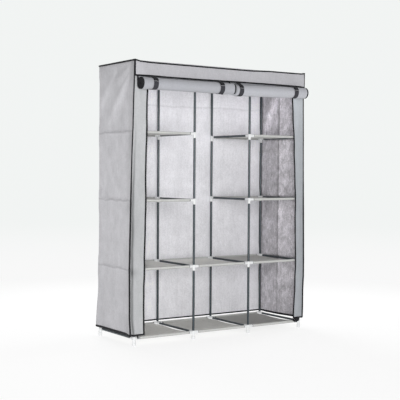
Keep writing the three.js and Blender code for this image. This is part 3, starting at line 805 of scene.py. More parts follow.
# %% Feet
foot_radius = 12 * mm
foot_top = levels[0] - sleeve_drop - 0.3 * mm
foot_pattern = turned("foot pattern", [
    (0, 0), (foot_radius - 2 * mm, 0), (foot_radius - 0.6 * mm, 0.6 * mm), (foot_radius, 2 * mm),
    (foot_radius, foot_top - 2.5 * mm), (foot_radius - 1 * mm, foot_top), (0, foot_top),
])
smooth(foot_pattern, 50)
for upright, x in zip(upright_names, columns):
    side = upright.replace("_frame", "")
    for place_name, y in (("front", front_post_y), ("back", back_post_y)):
        piece = copy_of(foot_pattern, f"{side}_{place_name}_foot", (x, y, 0))
        dress(piece, "wardrobe", [white_plastic], [upright])
bpy.data.objects.remove(foot_pattern)
print("8 feet,", round(foot_top / mm, 1), "mm tall")

# %% [markdown]
# Cloth pieces are grids whose points are placed by a formula: where the cloth is held, where it hangs and how
# it creases. A grid bends smoothly everywhere, and Solidify then gives it two faces, so that the inside can
# have its own material, painted paler for the light that comes through it. A cloth simulation would fold it
# too, but not into the folds of this one wardrobe.

# %% A sheet of cloth
cloth_thickness = 1.2 * mm


def cloth_sheet(name, across, up, spot, thickness=cloth_thickness, uv=None):
    """A sheet with its points at spot(s, t), for shares s across and t up. Faces turn to the
    side that across times up points to, and the thickness grows that way."""
    clear_selection()
    bpy.ops.mesh.primitive_grid_add(x_subdivisions=across, y_subdivisions=up, size=1)
    sheet = bpy.context.object
    sheet.name = name
    for vertex in sheet.data.vertices:
        vertex.co = spot(vertex.co.x + 0.5, vertex.co.y + 0.5)
    if uv:
        layer = sheet.data.uv_layers[0].data
        for entry in layer:
            entry.uv = (entry.uv[0] * uv[0], entry.uv[1] * uv[1])
    wall = sheet.modifiers.new("thickness", "SOLIDIFY")
    wall.thickness = thickness
    wall.offset = 1
    wall.material_offset = 1
    wall.material_offset_rim = 0
    sheet.data.materials.append(None)
    sheet.data.materials.append(None)
    apply_modifiers(sheet)
    smooth(sheet, 60)
    return sheet


def clothe(sheet, outside, inside):
    """Gives a sheet one material for its outer face and one for its inner face."""
    sheet.data.materials[0] = outside
    sheet.data.materials[1] = inside


def mark_painted_shade(sheet, shade, lining_shade=None, inward=None):
    """Marks each point with how much darker the cloth is painted there, as shade; below zero is painted
    lighter. The layer that faces inward can have marks of its own."""
    marks = sheet.data.attributes.new("crease", "FLOAT", "POINT")
    for vertex, mark in zip(sheet.data.vertices, marks.data):
        on_lining = inward is not None and vertex.normal.dot(inward) > 0
        mark.value = (lining_shade if on_lining else shade)(*vertex.co)


print("the cover's cloth is", round(cloth_thickness / mm, 1), "mm thick here")

# %% [markdown]
# The cover hangs from the top of the frame. Its hem flares a little, to the left and to the right,
# and its front strips go with it. At the back the corners are rounded off, less where a connector
# is in the way, and the front top seam dips between its corners. Each of these is a short table:
# a height or a place in metres, and how many millimetres the cloth moves there.

# %% Where the cover's edges run
panel_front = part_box("left_side_panel")[0].y
panel_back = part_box("left_side_panel")[1].y
top_panel_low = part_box("left_side_panel")[1].z

corner_flare = {
    -1: [(0.06, 20), (0.16, 27), (0.33, 28), (0.45, 29), (0.60, 27), (0.87, 22), (1.05, 18), (1.14, 16),
         (1.31, 9), (1.45, 7), (1.60, 2), (1.70, 0)],
    1: [(0.06, 10), (0.15, 12), (0.25, 12), (0.35, 17), (0.45, 17), (0.65, 14), (0.85, 11), (1.05, 8),
        (1.25, 6), (1.45, 3), (1.70, 0)],
}
zip_line = {
    -1: [(0.06, 577), (0.24, 578), (0.50, 575), (0.69, 570), (0.87, 568), (1.14, 567), (1.31, 563),
         (1.45, 561), (1.56, 555.5), (1.70, 555.2)],
    1: [(0.06, 582), (0.15, 588), (0.25, 596), (0.45, 597), (0.65, 594), (0.85, 591), (0.95, 589),
        (1.05, 584), (1.15, 579), (1.25, 575), (1.35, 569), (1.45, 565), (1.56, 556), (1.70, 555.2)],
}
back_flare = [(0.06, 12), (0.10, 13), (0.20, 10), (0.30, 4.5), (0.40, 4), (0.50, 2), (0.65, 0), (1.70, 0)]
back_cut = [(0.06, 5), (0.15, 6), (0.30, 12), (1.70, 12)]
top_dips = [(-0.645, 1), (-0.62, 6.5), (-0.585, 8.5), (-0.54, 10.5), (0.21, 11), (0.285, 7), (0.36, 4.5),
            (0.62, 4), (0.645, 1)]


def read_off(table, z):
    """What a table gives at a height or place: its millimetres, turned into metres."""
    for (z0, a), (z1, b) in zip(table, table[1:]):
        if z <= z1:
            share = max(0.0, (z - z0) / (z1 - z0))
            return (a + (b - a) * share) * mm
    return table[-1][1] * mm


def corner_out(side, z):
    """How far the front corner stands out to the side, and how far to the front."""
    flare = read_off(corner_flare[side], z)
    if side < 0:
        return flare * 1.2, flare * 0.3
    return flare * 0.88 - 1 * mm, flare * 0.18


def held(z, width=13 * mm):
    """One at a tube's level and zero between the tubes."""
    return max(hill(z - level, width) for level in levels)


def sleeved(z):
    """One where the connectors' sleeves are round the posts, and zero well away from them."""
    return max(blend_value(z, level - 120 * mm, level - 40 * mm)
               * blend_value(z, level + 95 * mm, level + 16 * mm) for level in levels)


def corner_cut(z):
    """How much of the back corner is rounded off, which is less where a connector is in the way."""
    return read_off(back_cut, z) * (1 - 0.35 * sleeved(z))


def round_the_back(y, z):
    """How far the cover turns in towards its back corner."""
    share = min(1.0, max(0.0, 1 - (back_y - y) / max(corner_cut(z), 1 * mm)))
    return corner_cut(z) * share


def seam_dip(x):
    """How far the front top seam dips between its two corners, more on the left than on the right."""
    return read_off(top_dips, x)


def hem_lift(side, z):
    """The right hem hangs a little higher at the front than the left one."""
    return 6 * mm * blend_value(z, hem_z + 220 * mm, hem_z) if side > 0 else 0.0


for side, name in ((-1, "left"), (1, "right")):
    print("at the hem the", name, "corner stands out by", round(corner_out(side, hem_z)[0] / mm), "mm")

# %% [markdown]
# A side panel is held out at each tube and falls inwards by a few millimetres between them, which
# shows as faint level lines. Diagonal waves fan down from its upper front corner, where the weight
# pulls. The left side flares towards the hem, and the right one has one long upright fold, with
# the cloth nearly flat before and behind it. All this is one formula, which moves the grid's
# points sideways.

# %% How a side panel hangs
long_fold_y = 45 * mm
light_streak = [(0.079, 1.555), (0.142, 1.440), (0.207, 1.322)]


def fold_y(z):
    """Where the long fold of the right side runs, a little wavy."""
    return long_fold_y + 3 * mm * math.sin(2.4 * z + 0.6)


def near_line(place, line, width=0.026):
    """One on a line of points and zero away from it."""
    nearest = 1.0
    for (y0, z0), (y1, z1) in zip(line, line[1:]):
        dy, dz = y1 - y0, z1 - z0
        share = ((place[0] - y0) * dy + (place[1] - z0) * dz) / (dy * dy + dz * dz)
        share = min(1.0, max(0.0, share))
        nearest = min(nearest, math.hypot(place[0] - y0 - dy * share, place[1] - z0 - dz * share))
    return hill(nearest, width)


def side_spot(side):
    """The formula of one side panel, from its shares along and up to a place."""
    def spot(s, t):
        along = s if side > 0 else 1 - s
        z = hem_z + (top_panel_low - hem_z) * t
        out_x, out_y = corner_out(side, z)
        front = panel_front - out_y
        y = front + (panel_back - front) * along
        window = min(1.0, 5.6 * along * (1 - along))
        at_post = max(blend_value(abs(y - post), 60 * mm, 24 * mm) for post in (front_post_y, back_post_y))
        free = (1 - held(z, 11 * mm)) * (1 - sleeved(z) * at_post)
        inward = free * window * (4.4 + 2.2 * drift(0, y, z, 0.22, 3 * side)) * mm
        inward += round_the_back(y, z) - 0.5 * mm * at_post
        nearest = max(hill(z - level - 0.012 * (along - 0.5), 5 * mm) for level in levels[1:4])
        crease = 2.2 * mm * window * nearest
        wave = 1.7 * mm * window * drift(0, y, z * 0.25, 0.055, 11 + side)
        reach = math.hypot(y - front, top_panel_low - z)
        angle = math.atan2(top_panel_low - z, max(y - front, 1e-6))
        fan = math.sin(angle * 15 + 1.3) * hill(reach - 0.30, 0.26) * 3.4 * mm
        if side < 0:
            flare = out_x * (0.72 * (1 - along) + 0.28 * (1 - blend_value(along, 0, 0.13)))
            flare += read_off(back_flare, z) * along ** 2
            sink = free * window * 5 * mm * drift(0, y * 1.5, z, 0.35, 90)
        else:
            fold = fold_y(z)
            flare = out_x * max(0.0, 1 - (y - front) / (fold - front))
            ahead, behind = (y - front) / (fold - front), (panel_back - y) / (panel_back - fold)
            sink = free * 10 * mm * max(0.0, min(ahead, behind, 1.0))
            sink -= 6 * mm * near_line((y, z), light_streak) * free
            fan = 0.7 * fan
            wave *= 2.0
        wave, fan = wave * free, fan * (0.3 + 0.7 * free)
        x = side_x + flare - inward - sink + wave + crease + fan * window
        x = max(x, side_x + flare * 0.9 - 14 * mm * free - round_the_back(y, z))
        return (side * x, y, z + hem_lift(side, z) * (1 - along))
    return spot


print("the right side's long fold is", round((long_fold_y - panel_front) / mm), "mm behind its front edge")

# %% [markdown]
# The folds of soft cloth catch the light: a ridge is lighter, and a valley or a pulled corner darker. This
# light and shade is painted in: it is drawn as lines and soft patches in the panel's own plane and stored on
# its points, and the cloth material reads it. A ridge below is a line of (y, z) points in metres, its width,
# and how much lighter it is painted. A shade table gives thousandths of painted darkness.

# %% Painted light and shade on the left side
left_painted_ridge_highlights = (
    ([(-0.122, 1.665), (-0.019, 1.492), (0.117, 1.336)], 0.030, 0.17),
    ([(0.056, 1.645), (0.216, 1.452)], 0.026, 0.17),
    ([(0.128, 1.085), (0.072, 0.985), (-0.008, 0.905)], 0.024, 0.08),
    ([(0.030, 1.20), (0.026, 1.13)], 0.030, 0.06),
    ([(-0.010, 0.80), (-0.030, 0.60), (-0.002, 0.25), (0.002, 0.08)], 0.024, 0.05),
    ([(-0.065, 1.46), (-0.068, 1.38)], 0.020, 0.06),
)
left_painted_shade_table = [(0.06, 90), (0.12, 50), (0.35, 40), (0.55, 0), (0.86, 0), (1.20, 20), (1.31, 70), (1.42, 60),
              (1.50, 90), (1.58, 130), (1.65, 210), (1.70, 290)]
left_corner_painted_shade_table = [(0.06, 170), (0.20, 40), (0.50, 60), (0.78, 20), (0.83, 260), (0.88, 130), (1.05, 130),
                     (1.14, 260), (1.25, 330), (1.29, 130), (1.36, 90), (1.45, 150), (1.65, 180), (1.70, 180)]


def left_side_painted_shade(x, y, z):
    """How much darker the left side's cloth is painted at a point, as shade of its folds."""
    near_corner = blend_value(y, panel_front + 130 * mm, panel_front - 10 * mm) ** 1.5
    dark = read_off(left_painted_shade_table, z) + read_off(left_corner_painted_shade_table, z) * near_corner
    for line, width, depth in left_painted_ridge_highlights:
        dark -= depth * near_line((y, z), line, width)
    return dark + 0.03 * drift(0, y * 2.2, z * 0.8, 0.16, 17)


def outer_painted_shade(x, y, z):
    """The right side's outer face has fainter painted shade than the left side's, turned front to back."""
    return 0.5 * left_side_painted_shade(x, -y, z)


print(len(left_painted_ridge_highlights), "pale ridges on the left side")

# %% [markdown]
# Inside, the right side is lit through the cloth, and that light is painted in. It is painted palest just
# before the long fold and darker in the valley behind it, with a broad painted light streak high up and a
# thin painted shadow beside it.

# %% Painted light and shade on the right side's lining
thin_painted_light_streak = [(0.18, 1.25), (0.245, 1.12)]
streak_shadow = [(0.145, 1.60), (0.215, 1.47)]


def right_lining_painted_light_and_shade(x, y, z):
    """How much darker the right side's lining is painted: shade at one long fold, and a painted light streak.
    """
    behind = y - fold_y(z)
    streak = 0.62 * near_line((y, z), light_streak, 0.038) * blend_value(z, 1.28, 1.36)
    streak += 0.22 * near_line((y, z), thin_painted_light_streak, 0.018)
    shadow = 0.20 * near_line((y, z), streak_shadow, 0.022)
    if behind > 0:
        valley = (0.30 + 0.10 * blend_value(z, 1.28, 1.36)) * hill(behind - 8 * mm, 13 * mm)
        corner = 0.22 * hill(panel_back - y, 0.035) * blend_value(z, 1.2, 1.0)
        return 0.07 - 0.12 * blend_value(z, 0.5, 0.2) + valley + shadow - streak - corner
    glow = 0.42 * math.exp(behind / 0.095) * (0.75 + 0.25 * blend_value(z, 1.5, 1.3))
    glow *= 1 - 0.9 * blend_value(z, 0.5, 0.2)
    return 0.07 - glow + 0.15 * blend_value(y, panel_front + 60 * mm, panel_front) + shadow - streak


print("the lining is lighter by", round(-right_lining_painted_light_and_shade(0, fold_y(1), 1), 2), "beside the fold, 1 m up")

# %% [markdown]
# The two side panels are the same grid with two formulas. The left one shows only its outer face to the
# camera, so one set of painted shade serves both faces. The right one shows its lining, which has painted
# light and shade of its own on the points that face inwards.

# %% Side panels
panel_height = top_panel_low - hem_z
for name, side in (("left_side_panel", -1), ("right_side_panel", 1)):
    panel = cloth_sheet(f"{name}_cloth", 110, 380, side_spot(side))
    if side < 0:
        mark_painted_shade(panel, left_side_painted_shade)
    else:
        mark_painted_shade(panel, outer_painted_shade, right_lining_painted_light_and_shade, Vector((-1, 0, 0)))
    clothe(panel, side_grey, mauve_inside_painted_light)
    dress(panel, "wardrobe", [], [name])
    print(name, "has", len(panel.data.polygons), "faces")

# %% [markdown]
# The back hangs the same way, between the back posts. It has faint upright streaks where the cloth was
# folded, and one level crease near the top from the packing, which also gets a line of painted shade on the
# inside. Its ends bend in to meet the sides at the rounded corners. Tones painted on its inside stand for the
# daylight that comes through it unevenly: painted light.

# %% Back panel
back_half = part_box("back_panel")[1].x
upright_folds = (-0.31, -0.05, 0.33)


def back_spot(s, t):
    """The back panel's formula, from its shares across and up to a place."""
    x = back_half - 2 * back_half * s
    z = hem_z + panel_height * t
    window = min(1.0, 30 * s * (1 - s))
    post = max(hill(x - column, 0.03) for column in columns)
    inward = (1 - held(z)) * (1 - post) * window * (3.0 + 1.5 * drift(x, 0, z, 0.3, 5)) * mm
    wave = 1.2 * mm * window * drift(x, 0, z * 0.2, 0.07, 21)
    crease = 2.4 * mm * hill(z - packing_crease_z - 0.006 * math.sin(7 * x), 0.006) * window
    upright = 1.0 * mm * sum(hill(x - place, 9 * mm) for place in upright_folds) * window
    at_end = min(1.0, max(0.0, 1 - (back_half - abs(x)) / (40 * mm)))
    shift = (corner_cut(z) + back_half - side_x) * at_end
    if x < 0:
        shift -= read_off(back_flare, z) * at_end
    return (x - math.copysign(shift, x), back_y - inward + wave + crease + upright, z)


def back_lining_painted_light(x, y, z):
    """Painted light on the back's lining: a little paler towards its ends and where the shelves are near it,
    and a little darker high up in the middle.
    """
    pale = 0.18 * blend_value(x, -0.18, -0.25)
    pale += 0.13 * blend_value(x, 0.28, 0.48) * (0.5 + 0.5 * blend_value(z, 1.0, 1.35))
    pale += 0.08 * blend_value(x, 0.52, 0.62) * blend_value(z, 0.9, 1.3)
    pale += 0.05 * max(hill(z - place, 0.07) for place in (0.34, 0.53, 0.95, 1.22, 1.50))
    return 0.05 + 0.06 * blend_value(z, 1.2, 1.35) * hill(x + 0.08, 0.16) - pale


back_panel = cloth_sheet("back_panel_cloth", 190, 230, back_spot)
mark_painted_shade(back_panel, lambda x, y, z: 0.03 * drift(x * 2, 0, z * 0.5, 0.2, 23), back_lining_painted_light,
             Vector((0, -1, 0)))
clothe(back_panel, cloth_grey, paler_inside_painted_light)
dress(back_panel, "wardrobe", [], ["back_panel"])
print("the back is", round(2 * back_half, 3), "by", round(panel_height, 3), "m")

# %% [markdown]
# The top lies on the upper tubes and connectors. It sinks slightly between them, and soft creases
# run in from its corners, where the sewn seams pull. Along the front it bends down to the seam.

# %% Top panel
top_low, top_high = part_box("top_panel")
rest_z = top_z - cloth_thickness


def top_spot(s, t):
    """The top panel's formula, from its shares across and back to a place."""
    x = -back_half + 2 * back_half * s
    y = top_low.y + (top_high.y - top_low.y) * t
    edge = min(1.0, 14 * s * (1 - s)) * min(1.0, 7 * t * (1 - t))
    column = max(hill(x - place, 0.03) for place in columns)
    sink = 1.9 * mm * edge * (1 - column)
    corner = min(math.hypot(abs(x) - back_half, y - place) for place in (top_low.y, top_high.y))
    pucker = 0.5 * mm * math.sin(40 * corner) * hill(corner, 0.16) * edge
    x -= math.copysign(round_the_back(y, top_z), x) * blend_value(abs(x), back_half - 0.1, back_half)
    dip = seam_dip(x) * blend_value(y, panel_front + 1 * mm, top_low.y)
    return (x, y, rest_z - sink + abs(pucker) - dip)


top_panel = cloth_sheet("top_panel_cloth", 220, 80, top_spot)
# The top is painted lighter all over, as painted light from above.
mark_painted_shade(top_panel, lambda x, y, z: -0.35 + 0.04 * drift(x, y * 2, 0, 0.2, 29))
clothe(top_panel, cloth_grey, mauve_inside_painted_light)
dress(top_panel, "wardrobe", [], ["top_panel"])
print("the front seam dips by up to", round(max(dip for _, dip in top_dips), 1), "mm")

# %% [markdown]
# The two front strips are sewn to the sides and run down beside the doorway. Each lies over its
# post and falls back a little beyond it, so a soft dark line follows the corner. Its free edge,
# with the zip tape, wanders outwards by up to 40 millimetres.

# %% How a front strip hangs
strip_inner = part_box("right_front_strip")[0].x
strip_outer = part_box("right_front_strip")[1].x
strip_fall = 3.5 * mm
strip_lift = 0.8 * mm
zip_tape_width = 9 * mm


def strip_place(side, x, z):
    """The strip's outer face at a place: x as cut, z up."""
    share = (side_x - abs(x)) / (side_x - strip_inner)
    out_x, out_y = corner_out(side, z)
    corner = side_x + out_x
    edge = read_off(zip_line[side], z) + zip_tape_width / 2
    place = corner + (edge - corner) * share
    off_tube = 1 - sleeved(z)
    hanging = blend_value(z, 1.64, 1.5)
    valley = 12 * mm * blend_value(z, 1.2, 0.75) * (0.85 + 0.4 * drift(0, 0, z, 0.2, 30))
    reach = 0.42 - 0.14 * sleeved(z)
    valley *= 1 - 0.25 * sleeved(z) if side < 0 else 0.15 * off_tube
    fold = valley * (blend_value(share, 0.02, 0.16) - blend_value(share, 0.16, reach))
    fall = strip_fall * blend_value(share, 0.45, 0.8) * off_tube * hanging
    soft = blend_value(share, 0.3, 0.6) * off_tube * hanging
    crease = soft * (1.8 * mm * drift(x, 0, z * 0.6, 0.05, 31 + side)
                     + 1.4 * mm * math.sin(40 * (share * 0.09 + 0.3 * z) + side))
    forward_lean = out_y * (1 - blend_value(share, 0, 0.2))
    y = front_y + cloth_thickness - strip_lift - forward_lean + fold + fall + max(crease, -2.5 * mm)
    dip = seam_dip(side * place) * blend_value(z, 1.6, 1.69)
    return (side * place, y, z + hem_lift(side, z) - dip)


print("a strip is cut", round((strip_outer - strip_inner) / mm, 1), "mm wide")

# %% [markdown]
# The left strip is pulled into a long upright fold beside its corner, which deepens towards the hem, and the
# fold's shade is painted in. The right strip is flat, and is painted paler towards its top, where it meets
# the light. As on the sides, each point's painted darkness is worked out and stored in the sheet.

# %% Front strips
def strip_painted_shade(side):
    """The left strip has painted shade in a fold beside its corner; the right one is painted paler towards
    its top.
    """
    fold_painted_shade = [(0.06, 600), (0.95, 520), (1.05, 430), (1.15, 330), (1.25, 180), (1.36, 60), (1.70, 0)]
    left_strip_painted_tone = [(0.06, 60), (0.90, 70), (1.10, 20), (1.35, -50), (1.70, -40)]
    right_strip_painted_light = [(0.06, 100), (0.30, 90), (0.50, 110), (0.70, 60), (0.80, 90), (1.00, 10), (1.20, 20),
                  (1.30, -60), (1.45, -200), (1.70, -260)]

    def dark(x, y, z):
        """How much darker the strip is painted at a point, as shade."""
        from_corner = side_x + corner_out(side, z)[0] - abs(x)
        if side > 0:
            return read_off(right_strip_painted_light, z) + 1.2 * (50 * mm - from_corner)
        place = 25 * mm + 2.5 * mm * drift(0, 0, z, 0.12, 15) - 4 * mm * blend_value(z, 0.75, 0.82)
        fold = read_off(fold_painted_shade, z) * hill(from_corner - place, 6.5 * mm) + read_off(left_strip_painted_tone, z)
        wedge = 0.10 * hill(from_corner - 32 * mm - 0.03 * math.sin(9 * z), 22 * mm)
        wedge *= blend_value(z, 0.44, 0.47) * blend_value(z, 0.85, 0.70)
        pull = 0.22 * hill(z - 0.44, 0.022) * blend_value(from_corner, 80 * mm, 20 * mm)
        return fold + wedge + pull
    return dark


strip_height = top_panel_low - hem_z
for name, side in (("left_front_strip", -1), ("right_front_strip", 1)):
    def spot(s, t, side=side):
        """The strip's formula, from its shares across and up to a place."""
        x = strip_inner + (strip_outer - strip_inner) * (s if side > 0 else 1 - s)
        return strip_place(side, side * x, hem_z + strip_height * t)
    strip = cloth_sheet(f"{name}_cloth", 36, 320, spot)
    mark_painted_shade(strip, strip_painted_shade(side))
    clothe(strip, strip_grey if side < 0 else right_strip_cloth_painted_shade, mauve_inside_painted_light)
    dress(strip, "wardrobe", [], [name])
    print(name, "has", len(strip.data.polygons), "faces")

# %% [markdown]
# The valance is the short curtain over the rolled doors. It hangs from the dipping top seam and is
# nearly flat, with two upright creases from the packing and a hem that bows slightly. The rolls
# push that hem out from behind.

# %% Valance
valance_height = top_panel_low - valance_hem


def over_rolls(x):
    """How far the hem stands out over the rolls, which push it from behind."""
    return 19 * mm * blend_value(back_half - abs(x), 0.004, 0.075)


def valance_place(x, t):
    """The valance's place at x, for a share t up from its hem."""
    z = valance_hem + valance_height * t
    hang = 1 - t
    wave = (1.3 * mm * drift(x, 0, z, 0.16, 41) + 0.9 * mm * math.sin(9 * x + 1)) * (0.3 + hang)
    crease = 1.5 * mm * hill(x + 0.155, 0.006) - 1.3 * mm * hill(x - 0.31, 0.007)
    bow = 1.5 * mm * math.sin(5 * x) * hang + 1.5 * mm * hang
    lean = over_rolls(x) * hang ** 1.2
    y = valance_y + 1.4 * mm - lean - max(0.0, wave + crease + 1.2 * mm) * min(1.0, 4 * hang + 0.2)
    return (x, y, z + bow - seam_dip(x) * t ** 0.7)


valance = cloth_sheet("valance_cloth", 260, 24,
                      lambda s, t: valance_place(-back_half + 2 * back_half * s, t))
clothe(valance, cloth_grey, cloth_grey)
dress(valance, "wardrobe", [], ["valance"])
print("the valance is", round(valance_height / mm, 1), "mm tall")

# %% [markdown]
# Black piping covers every seam and hem. A curve with a round bevel follows the sheets' own edges,
# so it stays on them where they flare or wander, and it is then made a mesh. A slow drift keeps it
# from looking ruled.

# %% A run of piping
piping_wander = 0.5 * mm
bevel_rounds = 3


def piping(name, points, radius, seed, fuller=None):
    """Black piping along the points; fuller(z) can make it thicker at some heights."""
    curve = bpy.data.curves.new(name, "CURVE")
    curve.dimensions = "3D"
    curve.bevel_depth = radius
    curve.bevel_resolution = bevel_rounds
    curve.use_fill_caps = True
    spline = curve.splines.new("POLY")
    spline.points.add(len(points) - 1)
    for number, (point, (x, y, z)) in enumerate(zip(spline.points, points)):
        shift = [piping_wander * drift(x, y, z, 0.09, seed + axis * 7) for axis in range(3)]
        point.co = (x + shift[0], y + shift[1], z + shift[2], 1)
        point.radius = 1 + 0.08 * drift(x, y, z, 0.03, seed + 40)
        if fuller:
            point.radius *= fuller(z)
    made = bpy.data.objects.new(name, curve)
    bpy.context.collection.objects.link(made)
    choose(made)
    bpy.ops.object.convert(target="MESH")
    made = bpy.context.object
    smooth(made, 60)
    return dress(made, "wardrobe", [piping_black], ["edge_binding"])


def run(first, last, count, spot):
    """The points that spot gives at even steps from a first value to a last one."""
    return [spot(first + (last - first) * i / count) for i in range(count + 1)]


print("piping wanders by up to", round(piping_wander / mm, 1), "mm")

# %% [markdown]
# The piping's lines come from the cover's own formulas. The front corners follow the flare, the
# back ones the rounded corner, and the hems the sheets' lowest rows. Each seam has its own
# thickness, because tape lies double on some of them.

# %% Piping on the sides and corners
piping_radii = {"front_corner": 4.8 * mm, "back_corner": 3.9 * mm, "top": 5.4 * mm, "side_hem": 6.8 * mm,
                "strip_hem": 5.2 * mm, "valance_end": 3.4 * mm, "top_edge": 4.5 * mm, "long_hem": 4.8 * mm}
corner_x = side_x + cloth_thickness


def front_corner(side, z):
    """Where the front corner's seam runs at a height."""
    out_x, out_y = corner_out(side, z)
    return (side * (corner_x + out_x - 0.8 * mm), front_y - out_y - 0.8 * mm, z + hem_lift(side, z))


def back_corner(side, z):
    """Where the back corner's seam runs at a height."""
    spread = read_off(back_flare, z) if side < 0 else 0
    return (side * (side_x + spread - corner_cut(z)), back_y + 0.8 * mm, z)


def fuller_below(z):
    """The front corners' piping is fuller near the hem than near the top."""
    return 1.14 - 0.32 * blend_value(z, 0.75, 1.1)


for side, name in ((-1, "left"), (1, "right")):
    piping(f"{name}_front_corner_piping", run(hem_z, top_z, 160, lambda z: front_corner(side, z)),
           piping_radii["front_corner"], side, fuller_below)
    piping(f"{name}_back_corner_piping", run(hem_z, top_z, 160, lambda z: back_corner(side, z)),
           piping_radii["back_corner"], side + 3)
    piping(f"{name}_top_piping",
           run(valance_y, back_y + 1 * mm, 60,
               lambda y: (side * (corner_x - round_the_back(y, top_z)), y, top_z + 0.3 * mm)),
           piping_radii["top"], side + 5)
    side_panel = side_spot(side)
    hem = [side_panel(i / 60, 0) for i in range(61)]
    piping(f"{name}_side_hem_piping", [(x + side * 0.4 * mm, y, z) for x, y, z in hem],
           piping_radii["side_hem"], side + 9)
    strip_hem = [strip_place(side, side * (strip_inner + (side_x - strip_inner) * i / 24), hem_z)
                 for i in range(25)]
    piping(f"{name}_strip_hem_piping", strip_hem, piping_radii["strip_hem"], side + 13)
    piping(f"{name}_valance_end_piping",
           run(valance_hem, top_z, 12, lambda z: (side * (back_half + 1.6 * mm), valance_y, z)),
           piping_radii["valance_end"], side + 15)
print("12 runs of piping on the sides, from", round(min(piping_radii.values()) / mm, 1), "to",
      round(max(piping_radii.values()) / mm, 1), "mm in radius")

# %% [markdown]
# Four long runs close the cover: the dipping front seam and the back one along the top, the back's
# hem, and the valance's hem, which is the one seam that the rolls push out of line.

# %% Piping across the front and the back
piping("top_front_piping",
       run(-corner_x, corner_x, 160,
           lambda x: (x, valance_y - 0.2 * mm, top_z + 0.2 * mm - seam_dip(x))), piping_radii["top_edge"], 20)
back_end = corner_x - corner_cut(top_z)
piping("top_back_piping", run(-back_end, back_end, 120, lambda x: (x, back_y + 1.2 * mm, top_z + 0.3 * mm)),
       piping_radii["top_edge"], 21)
piping("back_hem_piping", [back_spot(i / 120, 0) for i in range(121)], piping_radii["long_hem"], 22)
valance_line = run(-back_half, back_half, 160, lambda x: valance_place(x, 0))
piping("valance_hem_piping", [(x, y - 1.0 * mm, z + 1.5 * mm) for x, y, z in valance_line],
       piping_radii["long_hem"], 23)
print("4 long runs of piping, the one at the top of the back", round(2 * back_end, 3), "m long")

# %% [markdown]
# The strip's free edge carries one half of a zip: a black tape with a row of small teeth. The tape
# is a narrow sheet on the strip's edge, and the teeth are one mesh of small blocks that follow it.
# There are hundreds of teeth, so each has only six faces, and they are built as a list of corners
# and not with operators.

# %% Zip tapes and teeth
tooth_pitch = 3.2 * mm
tooth_margin = 10 * mm
tooth_faces = ((0, 1, 3, 2), (4, 6, 7, 5), (0, 4, 5, 1), (2, 3, 7, 6), (0, 2, 6, 4), (1, 5, 7, 3))
zip_low, zip_high = hem_z - 3 * mm, top_panel_low
tooth_count = int((zip_high - zip_low - 2 * tooth_margin) / tooth_pitch)


def tape_spot(side, s, z):
    """The zip tape, from the strip's edge (s is 0) to its teeth (s is 1)."""
    x, y, z = strip_place(side, side * (strip_inner + 1.5 * mm), z)
    return (x - side * (zip_tape_width + 1.5 * mm) * s, y - 1.3 * mm, z)


def zip_teeth(name, side):
    """One mesh of small blocks along the tape's edge, a little narrower towards the doorway."""
    corners, faces = [], []
    for number in range(tooth_count):
        x, y, z = tape_spot(side, 1, zip_low + tooth_margin + number * tooth_pitch)
        first = len(corners)
        for dx in (-1.6 * mm, 1.2 * mm):
            for dy in (-1.2 * mm, 0.6 * mm):
                for dz in (-0.8 * mm, 0.8 * mm):
                    corners.append((x - side * dx, y + dy, z + dz * (1 if dx < 0 else 0.7)))
        for face in tooth_faces:
            turned_face = face if side > 0 else face[::-1]
            faces.append([first + corner for corner in turned_face])
    mesh = bpy.data.meshes.new(name)
    mesh.from_pydata(corners, [], faces)
    teeth = bpy.data.objects.new(name, mesh)
    bpy.context.collection.objects.link(teeth)
    choose(teeth)
    bpy.ops.object.mode_set(mode="EDIT")
    bpy.ops.mesh.select_all(action="SELECT")
    bpy.ops.mesh.normals_make_consistent(inside=False)
    bpy.ops.object.mode_set(mode="OBJECT")
    return teeth


for side, name in ((-1, "left"), (1, "right")):
    tape = cloth_sheet(
        f"{name}_zip_tape", 4, 320,
        lambda s, t: tape_spot(side, s if side < 0 else 1 - s, zip_low + (zip_high - zip_low) * t),
        0.8 * mm)
    clothe(tape, piping_black, piping_black)
    dress(tape, "wardrobe", [], ["edge_binding"])
    dress(zip_teeth(f"{name}_zip_teeth", side), "wardrobe", [piping_black], ["edge_binding"])
print(tooth_count, "teeth on each zip tape")

# %% [markdown]
# A zip slider is a small metal wedge with a pull. It starts as a block, is narrowed towards its
# lower end and bevelled. The pull is a thin cylinder turned to face the front and drawn out in
# height, so that its ends stay round. Both are joined into one body.

